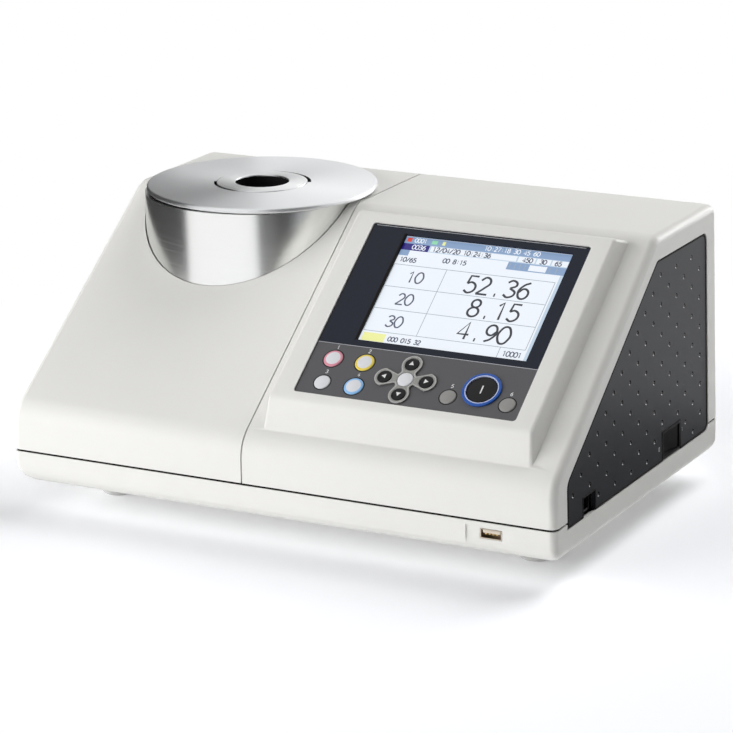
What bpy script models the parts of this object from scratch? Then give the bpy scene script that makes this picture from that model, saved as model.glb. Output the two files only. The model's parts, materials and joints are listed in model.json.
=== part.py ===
# Portable colorimeter with a measuring port on top and a sloping display.
# Metres, +Z up, front towards -Y, origin on the floor under the middle of the casing.
import math

import bmesh
import bpy
from mathutils import Matrix, Vector

# Overall sizes of the casing
BODY_WIDTH = 0.385
BODY_DEPTH = 0.261
CASING_TOP = 0.1865
JOINT_HEIGHT = 0.0411
JOINT_GAP = 0.0014
BASE_UNDERSIDE = 0.0197
SLOPE_FOOT = 0.06865
TOP_DEPTH = 0.09964
SLOPE_RUN = BODY_DEPTH - TOP_DEPTH
SLOPE_RISE = CASING_TOP - SLOPE_FOOT
SIDE_LEAN_SHARE = 0.0251
WALL = 0.0025
FIT = 0.0003
OVERRUN = 0.010
OVERLAP = 0.0008

# Rounding of the casing's edges
EDGE_RADIUS = 0.0050
SLOPE_FOOT_RADIUS = 0.022
SLOPE_HEAD_RADIUS = 0.015
TOP_REAR_RADIUS = 0.008
BASE_FRONT_RADIUS = 0.010
BASE_REAR_RADIUS = 0.016
BASE_LEFT_RADIUS = 0.016
BASE_RIGHT_RADIUS = 0.006
ARC_STEPS = 5
EDGE_SEGMENTS = 3
BEVEL_ANGLE = math.radians(50)

# Seam between the two covers
SEAM_STAGE_REACH = 0.0763
SEAM_GAP = 0.0010
STRIP_LEFT_REACH = 0.010
STRIP_RIGHT_REACH = 0.008
STRIP_THICKNESS = 0.0016
STRIP_BASE_GAP = 0.0012

# Dark band in the joint line
BAND_SETBACK = 0.0006
BAND_THICKNESS = 0.0014
BAND_RISE = 0.0050
BAND_DROP = 0.0045
BAND_PANEL_CLEARANCE = 0.006

# Feet and the bosses that carry them
FOOT_RADIUS = 0.011
FOOT_HEIGHT = 0.0112
FOOT_EDGE = 0.0012
FOOT_SIDE_MARGIN = 0.0410
FOOT_FRONT_MARGIN = 0.0620
FOOT_REAR_MARGIN = 0.0425
FOOT_BOSS_RADIUS = 0.0125
FOOT_STEPS = 20

# Measuring stage on its column
STAGE_LEFT_MARGIN = 0.0932
STAGE_REAR_MARGIN = 0.0901
DISC_RADIUS = 0.0768
DISC_THICKNESS = 0.0044
DISC_LIFT = 0.0005
DISC_EDGE = 0.0011
DISC_HUB_RADIUS = 0.0725
DISC_HUB_HEIGHT = 0.0011
COLUMN_SHIFT_LEFT = 0.0038
COLUMN_SHIFT_FRONT = 0.0014
COLUMN_RADIUS = 0.0740
COLUMN_WALL = 0.0020
COLUMN_COVER_GAP = 0.0006
MASK_RADIUS = 0.0302
MASK_PROUD = 0.0006
MASK_THICKNESS = 0.0031
MASK_EDGE = 0.0005
MASK_GAP = 0.0004
PORT_RADIUS = 0.018
MASK_SKIRT_WALL = 0.0016
MASK_SKIRT_DEPTH = 0.0086
GROOVE_UPPER_RADIUS = 0.0318
GROOVE_LOWER_RADIUS = 0.0312
GROOVE_SHIFT = 0.0009
GROOVE_DEPTH = 0.0022
GROOVE_ANGLE = math.radians(15)
GROOVE_BREAK = math.radians(7)
STAGE_STEPS = 64
MASK_STEPS = 40

# Integrating sphere under the port
SPHERE_FLOOR_ROOM = 0.0274
SPHERE_WALL = 0.003
SPHERE_NECK_RADIUS = 0.030
SPHERE_NECK_LENGTH = 0.0087
SPHERE_FLANGE_RADIUS = 0.0762
SPHERE_FLANGE_THICKNESS = 0.0034
SPHERE_STEPS = 28
SPHERE_ARC_STEPS = 5
NECK_GAP = 0.0006
OPTICS_RADIUS = 0.0114
OPTICS_BORE_RADIUS = 0.008
OPTICS_FLOOR = 0.008
OPTICS_GAP = 0.0006
OPTICS_ENTRY = 0.0010
SMALL_STEPS = 16

# Stage frame: a ring on four legs
FRAME_RING_THICKNESS = 0.0040
FRAME_RING_INNER = 0.0650
LEG_SIDE = 0.0075
LEG_RADIUS = 0.0702
LEG_COUNT = 4
LEG_START = math.radians(45)

# Chassis plate, its bosses, standoffs and rear tabs
CHASSIS_THICKNESS = 0.0015
CHASSIS_SIDE_MARGIN = 0.0125
CHASSIS_END_MARGIN = 0.0065
CHASSIS_BOSS_HEIGHT = 0.0036
CHASSIS_BOSS_RADIUS = 0.0045
CHASSIS_SCREW_SIDE_MARGIN = 0.0275
CHASSIS_SCREW_END_MARGIN = 0.0305
SCREW_RADIUS = 0.0015
SCREW_HEAD_RADIUS = 0.0030
SCREW_HEAD_HEIGHT = 0.0016
SCREW_LENGTH = 0.0048
SCREW_STEPS = 12
STANDOFF_RADIUS = 0.003
STANDOFF_HEIGHT = 0.0060
TAB_WIDTH = 0.013
TAB_THICKNESS = 0.0015
TAB_SETBACK = 0.0060
TAB_RISE = 0.0055
COVER_SCREW_RISE = 0.0114
COVER_SCREW_LEFT_MARGIN = 0.0275
COVER_SCREW_RIGHT_MARGIN = 0.0165
COVER_SCREW_SEAM_LEFT = 0.0270
COVER_SCREW_SEAM_RIGHT = 0.0480
COVER_SCREW_LENGTH = 0.0072
COVER_BOSS_RADIUS = 0.0048
COUNTERBORE_RADIUS = 0.0036
COUNTERBORE_DEPTH = 0.0020

# Boards and units inside
BOARD_THICKNESS = 0.0016
BOARD_LAMP_GAP = 0.0140
BOARD_RIGHT_MARGIN = 0.0225
BOARD_FRONT_MARGIN = 0.0355
BOARD_REAR_MARGIN = 0.0285
BOARD_EDGE = 0.008
CHIP_HEIGHT = 0.0040
CHIP_SIDE = 0.028
CAN_RADIUS = 0.006
CAN_HEIGHT = 0.011
LAMP_STAGE_REACH = 0.0813
LAMP_WIDTH = 0.034
LAMP_DEPTH = 0.044
LAMP_SNOUT_RADIUS = 0.009
LAMP_SNOUT_DROP = 0.028
LAMP_HEAD_ROOM = 0.018
LAMP_PORT_RADIUS = 0.007
LAMP_SNOUT_GAP = 0.0006
SENSOR_WIDTH = 0.038
SENSOR_DEPTH = 0.046
SENSOR_HEIGHT = 0.022

# Display box moulded on the slope, measured in the slope's own plane
FACE_LIFT = 0.0120
BOX_SEAM_GAP = 0.0105
BOX_RIGHT_MARGIN = 0.0235
BOX_FACE_LOW = 0.0305
BOX_HIGH_MARGIN = 0.014913
BOX_LEFT_FLARE = 0.0004
BOX_RIGHT_FLARE = 0.0032
BOX_LOW_FLARE = 0.0178
BOX_HIGH_FLARE = 0.0085
BOX_ROOT = 0.0030
BOX_EDGE = 0.0024
BOX_EDGE_SEGMENTS = 2
WINDOW_LEFT_FRAME = 0.0153
WINDOW_RIGHT_FRAME = 0.0135
WINDOW_LOW_FRAME = 0.0055
WINDOW_HIGH_FRAME = 0.0084
WINDOW_CORNER = 0.0022
WINDOW_SINK = 0.0010
KEY_PANEL_DEPTH = 0.0412
PANE_THICKNESS = 0.0018
SCREEN_LEFT_BORDER = 0.0250
SCREEN_RIGHT_BORDER = 0.0105
SCREEN_LOW_BORDER = 0.0053
SCREEN_HIGH_BORDER = 0.0063
SCREEN_RIM = 0.0040
SCREEN_DEPTH = 0.0053
BRACKET_THICKNESS = 0.0012
BRACKET_REACH = 0.0080
BRACKET_POST_RADIUS = 0.0025
BRACKET_POST_INSET = 0.0040

# Keys: caps ride in holes of the key panel
KEY_TRAVEL = 0.0012
KEY_PROUD = 0.0013
KEY_GAP = 0.00025
KEY_LIP = 0.00045
KEY_FLANGE = 0.0009
KEY_EDGE = 0.0006
KEY_CROWN = 0.0003
KEY_SHOULDER_SHARE = 0.7
KEY_STEPS = 16
KEY_MAT_THICKNESS = 0.0010
KEY_MAT_MARGIN = 0.0050
SMALL_KEY_RADIUS = 0.0053
RING_KEY_RADIUS = 0.0064
CENTRE_KEY_RADIUS = 0.0052
MEASURE_KEY_RADIUS = 0.0100
MEASURE_RING_RADIUS = 0.01275
MEASURE_RING_GAP = 0.0003
MEASURE_RING_HEIGHT = 0.0009
PAD_LOBE_RADIUS = 0.0068
PAD_CENTRE_RADIUS = 0.0100
PAD_THICKNESS = 0.0008
SOFT_KEY_INSET = 0.0161
SOFT_KEY_PITCH = 0.0221
SOFT_KEY_HIGH_INSET = 0.0292
SOFT_KEY_LOW_INSET = 0.0102
CURSOR_PLACE_SHARE = 0.38152
CURSOR_INSET = 0.0201
CURSOR_REACH_X = 0.0143
CURSOR_REACH_Y = 0.0119
MEASURE_KEY_INSET = 0.0301
MEASURE_KEY_RISE = 0.0202
SIDE_KEY_REACH = 0.0201
SIDE_KEY_DROP = 0.0083

# Dark side panel in the right wall
PANEL_FRONT_MARGIN = 0.0182
PANEL_SLOPE_MARGIN = 0.0133
PANEL_TOP_MARGIN = 0.0166
PANEL_REAR_MARGIN = 0.0180
PANEL_DROP = 0.0034
PANEL_GAP = 0.0009
PANEL_SINK = 0.0008
PANEL_THICKNESS = 0.0022
PANEL_KNEE_RADIUS = 0.008
PANEL_CORNER_RADIUS = 0.005
PANEL_LIP = 0.0040
PANEL_LIP_THICKNESS = 0.0012
PANEL_ARC_STEPS = 3

# Side sockets and switch, places along the side and above the floor
CABLE_NOTCH_MARGIN = 0.0422
CABLE_NOTCH_WIDTH = 0.0188
CABLE_NOTCH_RISE = 0.0087
CABLE_SOCKET_WIDTH = 0.0120
CABLE_SOCKET_HEIGHT = 0.0108
CABLE_SOCKET_LENGTH = 0.0160
CABLE_SOCKET_SETBACK = 0.0035
CABLE_HOLE_WIDTH = 0.0085
CABLE_HOLE_HEIGHT = 0.0078
CABLE_HOLE_DEPTH = 0.0090
CABLE_TONGUE_WIDTH = 0.0056
CABLE_TONGUE_HEIGHT = 0.0032
CABLE_TONGUE_RECESS = 0.0020
SWITCH_REAR_MARGIN = 0.0636
SWITCH_WIDTH = 0.0300
SWITCH_RISE = 0.0153
SWITCH_WALL = 0.0014
SWITCH_DEPTH = 0.0155
SWITCH_BACK = 0.0040
ROCKER_TILT = math.radians(8)
ROCKER_HALF_WIDTH = 0.0116
ROCKER_END_REACH = 0.0058
ROCKER_MID_REACH = 0.0042
ROCKER_END_BACK = 0.0012
ROCKER_MID_BACK = 0.0028
ROCKER_GAP = 0.0004
ROCKER_PIVOT_DEPTH = 0.0077
ROCKER_PIN_RADIUS = 0.0012
ROCKER_PIN_REACH = 0.0008

# Front socket in the tray
STICK_SOCKET_MARGIN = 0.0361
STICK_SOCKET_WIDTH = 0.0143
STICK_SOCKET_DROP = 0.0050
STICK_SOCKET_HEIGHT = 0.0061
STICK_SOCKET_LENGTH = 0.0150
STICK_SOCKET_WALL = 0.0005
STICK_SOCKET_DEPTH = 0.0100
STICK_TONGUE_THICKNESS = 0.0018
STICK_TONGUE_SIDE = 0.0009
STICK_RECESS_LEFT_REACH = 0.0096
STICK_RECESS_RIGHT_REACH = 0.0056
STICK_RECESS_DROP = 0.0045
STICK_RECESS_RISE = 0.0015
STICK_RECESS_DEPTH = 0.0008

# Rear socket plate with the power inlet and the serial socket
REAR_OPENING_MARGIN = 0.0345
REAR_OPENING_WIDTH = 0.0880
REAR_OPENING_RISE = 0.0149
REAR_OPENING_HEIGHT = 0.0280
REAR_OPENING_CORNER = 0.003
REAR_PLATE_LIP = 0.0040
REAR_PLATE_THICKNESS = 0.0013
INLET_INSET = 0.0160
INLET_RADIUS = 0.0058
INLET_BORE_RADIUS = 0.0031
INLET_BORE_DEPTH = 0.0090
INLET_PIN_RADIUS = 0.0010
INLET_PIN_RECESS = 0.0020
INLET_BODY = 0.0135
INLET_BODY_LENGTH = 0.0120
SERIAL_INSET = 0.0320
SERIAL_WIDTH = 0.0310
SERIAL_HEIGHT = 0.0125
SERIAL_BODY_LENGTH = 0.0080
SERIAL_SHELL_WIDTH = 0.0169
SERIAL_SHELL_HEIGHT = 0.0083
SERIAL_SHELL_TAPER = 0.0016
SERIAL_SHELL_CORNER = 0.0018
SERIAL_SHELL_PROUD = 0.0022

# Places that follow from the sizes above
HALF_WIDTH = BODY_WIDTH / 2
HALF_DEPTH = BODY_DEPTH / 2
SLOPE_ANGLE = math.atan2(SLOPE_RISE, SLOPE_RUN)
SLOPE_LENGTH = math.hypot(SLOPE_RUN, SLOPE_RISE)
STAGE_X = -HALF_WIDTH + STAGE_LEFT_MARGIN
STAGE_Y = HALF_DEPTH - STAGE_REAR_MARGIN
COLUMN_X = STAGE_X - COLUMN_SHIFT_LEFT
COLUMN_Y = STAGE_Y - COLUMN_SHIFT_FRONT
SEAM_X = STAGE_X + SEAM_STAGE_REACH
FOOT_X = HALF_WIDTH - FOOT_SIDE_MARGIN
FOOT_FRONT_Y = -HALF_DEPTH + FOOT_FRONT_MARGIN
FOOT_REAR_Y = HALF_DEPTH - FOOT_REAR_MARGIN
CHASSIS_SCREW_X = HALF_WIDTH - CHASSIS_SCREW_SIDE_MARGIN
CHASSIS_SCREW_Y = HALF_DEPTH - CHASSIS_SCREW_END_MARGIN
COVER_SCREW_HEIGHT = JOINT_HEIGHT + COVER_SCREW_RISE
COVER_SCREW_X = (
    -HALF_WIDTH + COVER_SCREW_LEFT_MARGIN,
    SEAM_X - COVER_SCREW_SEAM_LEFT,
    SEAM_X + COVER_SCREW_SEAM_RIGHT,
    HALF_WIDTH - COVER_SCREW_RIGHT_MARGIN,
)
TAB_TOP = COVER_SCREW_HEIGHT + TAB_RISE
LAMP_LEFT = STAGE_X + LAMP_STAGE_REACH
BOARD_LEFT = LAMP_LEFT + LAMP_WIDTH + BOARD_LAMP_GAP
BOARD_RIGHT = HALF_WIDTH - BOARD_RIGHT_MARGIN
BOARD_FRONT = -HALF_DEPTH + BOARD_FRONT_MARGIN
BOARD_REAR = HALF_DEPTH - BOARD_REAR_MARGIN
BOX_FACE_LEFT = SEAM_X + BOX_SEAM_GAP
BOX_FACE_RIGHT = HALF_WIDTH - BOX_RIGHT_MARGIN
WINDOW_LEFT = BOX_FACE_LEFT + WINDOW_LEFT_FRAME
WINDOW_RIGHT = BOX_FACE_RIGHT - WINDOW_RIGHT_FRAME
BOX_FACE_HIGH = SLOPE_LENGTH - BOX_HIGH_MARGIN
WINDOW_LOW = BOX_FACE_LOW + WINDOW_LOW_FRAME
WINDOW_HIGH = BOX_FACE_HIGH - WINDOW_HIGH_FRAME
WINDOW_SPLIT = WINDOW_LOW + KEY_PANEL_DEPTH
SCREEN_LOW = WINDOW_SPLIT + SCREEN_LOW_BORDER
SCREEN_HIGH = WINDOW_HIGH - SCREEN_HIGH_BORDER
SCREEN_LEFT = WINDOW_LEFT + SCREEN_LEFT_BORDER
SCREEN_RIGHT = WINDOW_RIGHT - SCREEN_RIGHT_BORDER
SOFT_KEY_X = WINDOW_LEFT + SOFT_KEY_INSET
SOFT_KEY_HIGH = WINDOW_LOW + SOFT_KEY_HIGH_INSET
SOFT_KEY_LOW = WINDOW_LOW + SOFT_KEY_LOW_INSET
CURSOR_Y = WINDOW_LOW + CURSOR_INSET
MEASURE_KEY_X = WINDOW_RIGHT - MEASURE_KEY_INSET
MEASURE_KEY_Y = WINDOW_LOW + MEASURE_KEY_RISE
SECOND_KEY_X = SOFT_KEY_X + SOFT_KEY_PITCH
CURSOR_X = SECOND_KEY_X + (MEASURE_KEY_X - SECOND_KEY_X) * CURSOR_PLACE_SHARE
CABLE_NOTCH_FRONT = -HALF_DEPTH + CABLE_NOTCH_MARGIN
CABLE_NOTCH_REAR = CABLE_NOTCH_FRONT + CABLE_NOTCH_WIDTH
CABLE_NOTCH_TOP = JOINT_HEIGHT + CABLE_NOTCH_RISE
SWITCH_REAR = HALF_DEPTH - SWITCH_REAR_MARGIN
SWITCH_FRONT = SWITCH_REAR - SWITCH_WIDTH
SWITCH_TOP = JOINT_HEIGHT + SWITCH_RISE
STICK_SOCKET_RIGHT = HALF_WIDTH - STICK_SOCKET_MARGIN
STICK_SOCKET_LEFT = STICK_SOCKET_RIGHT - STICK_SOCKET_WIDTH
STICK_SOCKET_HIGH = JOINT_HEIGHT - STICK_SOCKET_DROP
STICK_SOCKET_LOW = STICK_SOCKET_HIGH - STICK_SOCKET_HEIGHT
STICK_RECESS_LEFT = STICK_SOCKET_LEFT - STICK_RECESS_LEFT_REACH
STICK_RECESS_RIGHT = STICK_SOCKET_RIGHT + STICK_RECESS_RIGHT_REACH
STICK_RECESS_LOW = STICK_SOCKET_LOW - STICK_RECESS_DROP
STICK_RECESS_HIGH = STICK_SOCKET_HIGH + STICK_RECESS_RISE
REAR_OPENING_RIGHT = HALF_WIDTH - REAR_OPENING_MARGIN
REAR_OPENING_LEFT = REAR_OPENING_RIGHT - REAR_OPENING_WIDTH
REAR_OPENING_LOW = JOINT_HEIGHT + REAR_OPENING_RISE
REAR_OPENING_HIGH = REAR_OPENING_LOW + REAR_OPENING_HEIGHT
INLET_X = REAR_OPENING_LEFT + INLET_INSET
SERIAL_X = REAR_OPENING_RIGHT - SERIAL_INSET
COVER_LOW = JOINT_HEIGHT + JOINT_GAP / 2
BASE_HIGH = JOINT_HEIGHT - JOINT_GAP / 2
BASE_FLOOR = BASE_UNDERSIDE + WALL
DISC_LOW = CASING_TOP + DISC_LIFT
DISC_TOP = DISC_LOW + DISC_THICKNESS
MASK_TOP = DISC_TOP + MASK_PROUD
MASK_SEAT = MASK_TOP - MASK_THICKNESS
MASK_SKIRT_RADIUS = PORT_RADIUS + MASK_SKIRT_WALL
NECK_BORE = MASK_SKIRT_RADIUS + NECK_GAP
NECK_TOP = DISC_LOW - FIT
BOSS_TOP = BASE_FLOOR + CHASSIS_BOSS_HEIGHT
CHASSIS_LOW = BOSS_TOP + FIT
CHASSIS_TOP = CHASSIS_LOW + CHASSIS_THICKNESS
SPHERE_HIGH = NECK_TOP - SPHERE_NECK_LENGTH
SPHERE_LOW = CHASSIS_TOP + SPHERE_FLOOR_ROOM
SPHERE_RADIUS = (SPHERE_HIGH - SPHERE_LOW - SPHERE_WALL) / 2
SPHERE_Z = SPHERE_HIGH - SPHERE_RADIUS
SPHERE_OUTER = SPHERE_RADIUS + SPHERE_WALL
SPHERE_SPLIT = FIT / 2
FLANGE_TOP = SPHERE_Z + SPHERE_SPLIT + SPHERE_FLANGE_THICKNESS
FLANGE_LOW = SPHERE_Z - SPHERE_SPLIT - SPHERE_FLANGE_THICKNESS
FRAME_TOP = FLANGE_LOW - FIT
BOARD_LOW = CHASSIS_TOP + STANDOFF_HEIGHT + FIT
BOARD_TOP = BOARD_LOW + BOARD_THICKNESS
REAR_INSIDE = HALF_DEPTH - WALL
PANE_TOP = FACE_LIFT - WINDOW_SINK
PANE_LOW = PANE_TOP - PANE_THICKNESS
SCREEN_TOP = PANE_LOW - FIT
SCREEN_BACK = SCREEN_TOP - SCREEN_DEPTH
BRACKET_TOP = SCREEN_BACK - FIT
KEY_BOARD_LOW = BRACKET_TOP + FIT
KEY_BOARD_TOP = KEY_BOARD_LOW + BOARD_THICKNESS
KEY_MAT_LOW = KEY_BOARD_TOP + FIT
KEY_FLANGE_TOP = PANE_LOW - FIT
PANEL_LOW = JOINT_HEIGHT - PANEL_DROP
PANEL_FACE_X = HALF_WIDTH - PANEL_SINK
PANEL_BACK_X = PANEL_FACE_X - PANEL_THICKNESS
PANEL_LIP_X = HALF_WIDTH - WALL - FIT

COLORIMETER = bpy.data.collections.new("portable_colorimeter")
CUTTERS = bpy.data.collections.new("cutters")


# Materials of the pieces: colour, roughness and metal share
def make_material(name, colour, roughness, metallic):
    material = bpy.data.materials.new(name)
    material.use_nodes = True
    shader = material.node_tree.nodes["Principled BSDF"]
    shader.inputs["Base Color"].default_value = (*colour, 1)
    shader.inputs["Roughness"].default_value = roughness
    shader.inputs["Metallic"].default_value = metallic
    return material


def make_palette():
    return {
        "casing": make_material("off_white_casing", (0.80, 0.79, 0.75), 0.45, 0),
        "dark_panel": make_material("dark_grey_panel", (0.045, 0.050, 0.056), 0.40, 0),
        "black": make_material("black_plastic", (0.015, 0.015, 0.016), 0.45, 0),
        "bezel": make_material("dark_navy_bezel", (0.025, 0.028, 0.040), 0.25, 0),
        "key_panel": make_material("grey_key_panel", (0.10, 0.10, 0.105), 0.45, 0),
        "pale_key": make_material("pale_key", (0.72, 0.72, 0.74), 0.40, 0),
        "pink_key": make_material("pink_ring_key", (0.75, 0.35, 0.38), 0.40, 0),
        "yellow_key": make_material("yellow_ring_key", (0.80, 0.70, 0.20), 0.40, 0),
        "blue_key": make_material("blue_ring_key", (0.35, 0.60, 0.85), 0.40, 0),
        "grey_key": make_material("grey_key", (0.30, 0.30, 0.31), 0.40, 0),
        "screen": make_material("display_glass", (0.75, 0.82, 0.95), 0.20, 0),
        "blue_ring": make_material("bright_blue_ring", (0.03, 0.12, 0.60), 0.35, 0),
        "aluminium": make_material("turned_aluminium", (0.72, 0.73, 0.74), 0.28, 1),
        "steel": make_material("plated_steel", (0.55, 0.56, 0.57), 0.35, 1),
        "sphere": make_material("black_cast_aluminium", (0.05, 0.05, 0.05), 0.50, 0.6),
        "board": make_material("green_circuit_board", (0.02, 0.16, 0.07), 0.50, 0),
        "rubber": make_material("dark_rubber", (0.03, 0.03, 0.03), 0.80, 0),
        "foot": make_material("pale_rubber", (0.45, 0.45, 0.44), 0.75, 0),
        "mat": make_material("grey_silicone", (0.45, 0.45, 0.45), 0.70, 0),
    }


# Helpers that turn outlines and primitives into solids
def add_mesh_object(name, bm, collection):
    mesh = bpy.data.meshes.new(name)
    bmesh.ops.recalc_face_normals(bm, faces=bm.faces)
    bm.to_mesh(mesh)
    bm.free()
    obj = bpy.data.objects.new(name, mesh)
    collection.objects.link(obj)
    return obj


def dress(obj, material):
    obj.data.materials.clear()
    obj.data.materials.append(material)
    obj.data.shade_smooth()
    obj.data.set_sharp_from_angle(angle=math.radians(35))
    return obj


def as_cutter(obj):
    if obj.name not in CUTTERS.objects:
        CUTTERS.objects.link(obj)
    if obj.name in COLORIMETER.objects:
        COLORIMETER.objects.unlink(obj)
    obj.hide_render = True
    obj.display_type = "WIRE"
    return obj


def block(name, low, high, collection=None):
    bm = bmesh.new()
    bmesh.ops.create_cube(bm, size=1)
    size = Vector(high) - Vector(low)
    middle = (Vector(high) + Vector(low)) / 2
    bmesh.ops.scale(bm, vec=size, verts=bm.verts)
    bmesh.ops.translate(bm, vec=middle, verts=bm.verts)
    return add_mesh_object(name, bm, collection or COLORIMETER)


def rod(name, centre, radius, low, high, steps, collection=None):
    bm = bmesh.new()
    bmesh.ops.create_cone(
        bm, cap_ends=True, segments=steps, radius1=radius, radius2=radius, depth=high - low
    )
    bmesh.ops.translate(bm, vec=(centre[0], centre[1], (low + high) / 2), verts=bm.verts)
    return add_mesh_object(name, bm, collection or COLORIMETER)


def cross_rod(name, axis, centre, radius, low, high, steps, collection=None):
    """A rod along X or Y; centre gives the two other coordinates in order."""
    obj = rod(name, (0, 0), radius, low, high, steps, collection)
    if axis == "X":
        turn = Matrix(((0, 0, 1, 0), (1, 0, 0, centre[0]), (0, 1, 0, centre[1]), (0, 0, 0, 1)))
    else:
        turn = Matrix(((0, 1, 0, centre[0]), (0, 0, 1, 0), (1, 0, 0, centre[1]), (0, 0, 0, 1)))
    obj.data.transform(turn)
    return obj


def turned(name, centre, profile, steps, collection=None):
    """A ring or disc turned about a vertical axis; the profile runs down its outer side."""
    mesh = bpy.data.meshes.new(name)
    verts = [(radius, 0, height) for radius, height in profile]
    edges = [(i, i + 1) for i in range(len(profile) - 1)]
    if profile[0][0] > 0:
        edges.append((len(profile) - 1, 0))
    mesh.from_pydata(verts, edges, [])
    source = bpy.data.objects.new(name + "_profile", mesh)
    CUTTERS.objects.link(source)
    screw = source.modifiers.new("turn", "SCREW")
    screw.steps = steps
    screw.render_steps = steps
    screw.use_merge_vertices = True
    screw.merge_threshold = FIT / 100
    obj = bake(source, name, collection or COLORIMETER)
    obj.data.transform(Matrix.Translation((centre[0], centre[1], 0)))
    return obj


def bake(source, name, collection):
    """The evaluated shape of an object as a plain mesh, welded, with the source removed."""
    bpy.context.view_layer.update()
    depsgraph = bpy.context.evaluated_depsgraph_get()
    mesh = bpy.data.meshes.new_from_object(source.evaluated_get(depsgraph))
    bm = bmesh.new()
    bm.from_mesh(mesh)
    bmesh.ops.remove_doubles(bm, verts=bm.verts, dist=FIT / 100)
    bmesh.ops.transform(bm, matrix=source.matrix_world, verts=bm.verts)
    bmesh.ops.dissolve_limit(
        bm, angle_limit=math.radians(0.5), verts=bm.verts, edges=bm.edges, delimit={"NORMAL"}
    )
    bpy.data.objects.remove(source, do_unlink=True)
    bpy.data.meshes.remove(mesh)
    return add_mesh_object(name, bm, collection)


def rounded(corners, steps):
    """Turn (x, y, radius) corners into a closed outline with an arc at each corner."""
    points = []
    count = len(corners)
    for i, (x, y, radius) in enumerate(corners):
        here = Vector((x, y))
        before = Vector(corners[i - 1][:2]) - here
        after = Vector(corners[(i + 1) % count][:2]) - here
        if radius <= 0:
            points.append(here)
            continue
        before.normalize()
        after.normalize()
        half = before.angle(after) / 2
        reach = radius / math.tan(half)
        centre = here + (before + after).normalized() * (radius / math.sin(half))
        start = here + before * reach - centre
        turn = math.pi - 2 * half
        if start.x * (here - centre).y - start.y * (here - centre).x < 0:
            turn = -turn
        for k in range(steps + 1):
            angle = turn * k / steps
            cos, sin = math.cos(angle), math.sin(angle)
            points.append(
                centre + Vector((start.x * cos - start.y * sin, start.x * sin + start.y * cos))
            )
    return points


def plate(name, points, low, high, frame=None, collection=None):
    """A flat outline given thickness from low to high along the frame's third axis."""
    curve = bpy.data.curves.new(name, "CURVE")
    curve.dimensions = "2D"
    curve.fill_mode = "BOTH"
    curve.extrude = (high - low) / 2
    spline = curve.splines.new("POLY")
    spline.points.add(len(points) - 1)
    for spot, point in zip(spline.points, points):
        spot.co = (point[0], point[1], 0, 1)
    spline.use_cyclic_u = True
    source = bpy.data.objects.new(name + "_outline", curve)
    CUTTERS.objects.link(source)
    source.matrix_world = (frame or Matrix()) @ Matrix.Translation((0, 0, (low + high) / 2))
    return bake(source, name, collection or COLORIMETER)


def cut(obj, cutter):
    modifier = obj.modifiers.new(cutter.name, "BOOLEAN")
    modifier.operation = "DIFFERENCE"
    modifier.solver = "EXACT"
    modifier.object = as_cutter(cutter)
    return obj


def join(obj, other):
    modifier = obj.modifiers.new(other.name, "BOOLEAN")
    modifier.operation = "UNION"
    modifier.solver = "EXACT"
    modifier.object = as_cutter(other)
    return obj


def round_edges(obj, width, segments, angle=BEVEL_ANGLE):
    modifier = obj.modifiers.new("rounding", "BEVEL")
    modifier.width = width
    modifier.segments = segments
    modifier.limit_method = "ANGLE"
    modifier.angle_limit = angle
    return obj


def rounded_box(name, low, high, radii, segments, collection=None):
    """A block whose twelve edges each take their own radius, keyed by axis and two signs."""
    obj = block(name, low, high, collection)
    mesh = obj.data
    middle = (Vector(low) + Vector(high)) / 2
    widest = max(radii.values())
    weights = mesh.attributes.new("bevel_weight_edge", "FLOAT", "EDGE")
    for edge in mesh.edges:
        a, b = (mesh.vertices[i].co for i in edge.vertices)
        along = max(range(3), key=lambda i: abs(b[i] - a[i]))
        others = [i for i in range(3) if i != along]
        signs = [1 if (a[i] + b[i]) / 2 > middle[i] else -1 for i in others]
        key = ("XYZ"[along], signs[0], signs[1])
        weights.data[edge.index].value = radii.get(key, 0) / widest
    modifier = obj.modifiers.new("rounding", "BEVEL")
    modifier.width = widest
    modifier.segments = segments
    modifier.limit_method = "WEIGHT"
    return obj


# Frames: the side view plane, the front view plane and the plane of the slope
def side_frame():
    return Matrix(((0, 0, 1, 0), (1, 0, 0, 0), (0, 1, 0, 0), (0, 0, 0, 1)))


def rear_frame():
    return Matrix(((-1, 0, 0, 0), (0, 0, 1, 0), (0, 1, 0, 0), (0, 0, 0, 1)))


def slope_frame():
    origin = Matrix.Translation((0, -HALF_DEPTH, SLOPE_FOOT))
    return origin @ Matrix.Rotation(SLOPE_ANGLE, 4, "X")


def lean_side(obj):
    """Lean the side walls inwards with height, turning them about the joint line."""
    for vertex in obj.data.vertices:
        rise = vertex.co.z - JOINT_HEIGHT
        vertex.co.x -= SIDE_LEAN_SHARE * rise * vertex.co.x / HALF_WIDTH
    return obj


# Casing
def casing_corners(inset, low):
    front = -HALF_DEPTH + inset
    rear = HALF_DEPTH - inset
    top = CASING_TOP - inset
    drop = inset / math.cos(SLOPE_ANGLE)
    slope = math.tan(SLOPE_ANGLE)
    foot = SLOPE_FOOT + inset * slope - drop
    head = -HALF_DEPTH + (top + drop - SLOPE_FOOT) / slope
    return [
        (front, low, 0),
        (front, foot, SLOPE_FOOT_RADIUS - inset),
        (head, top, SLOPE_HEAD_RADIUS - inset),
        (rear, top, TOP_REAR_RADIUS - inset),
        (rear, low, 0),
    ]


def casing_form(name, inset, low):
    outline = rounded(casing_corners(inset, low), ARC_STEPS)
    side = HALF_WIDTH - inset
    form = lean_side(plate(name, outline, -side, side, side_frame(), CUTTERS))
    round_edges(form, EDGE_RADIUS - inset, EDGE_SEGMENTS)
    return as_cutter(form)


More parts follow.
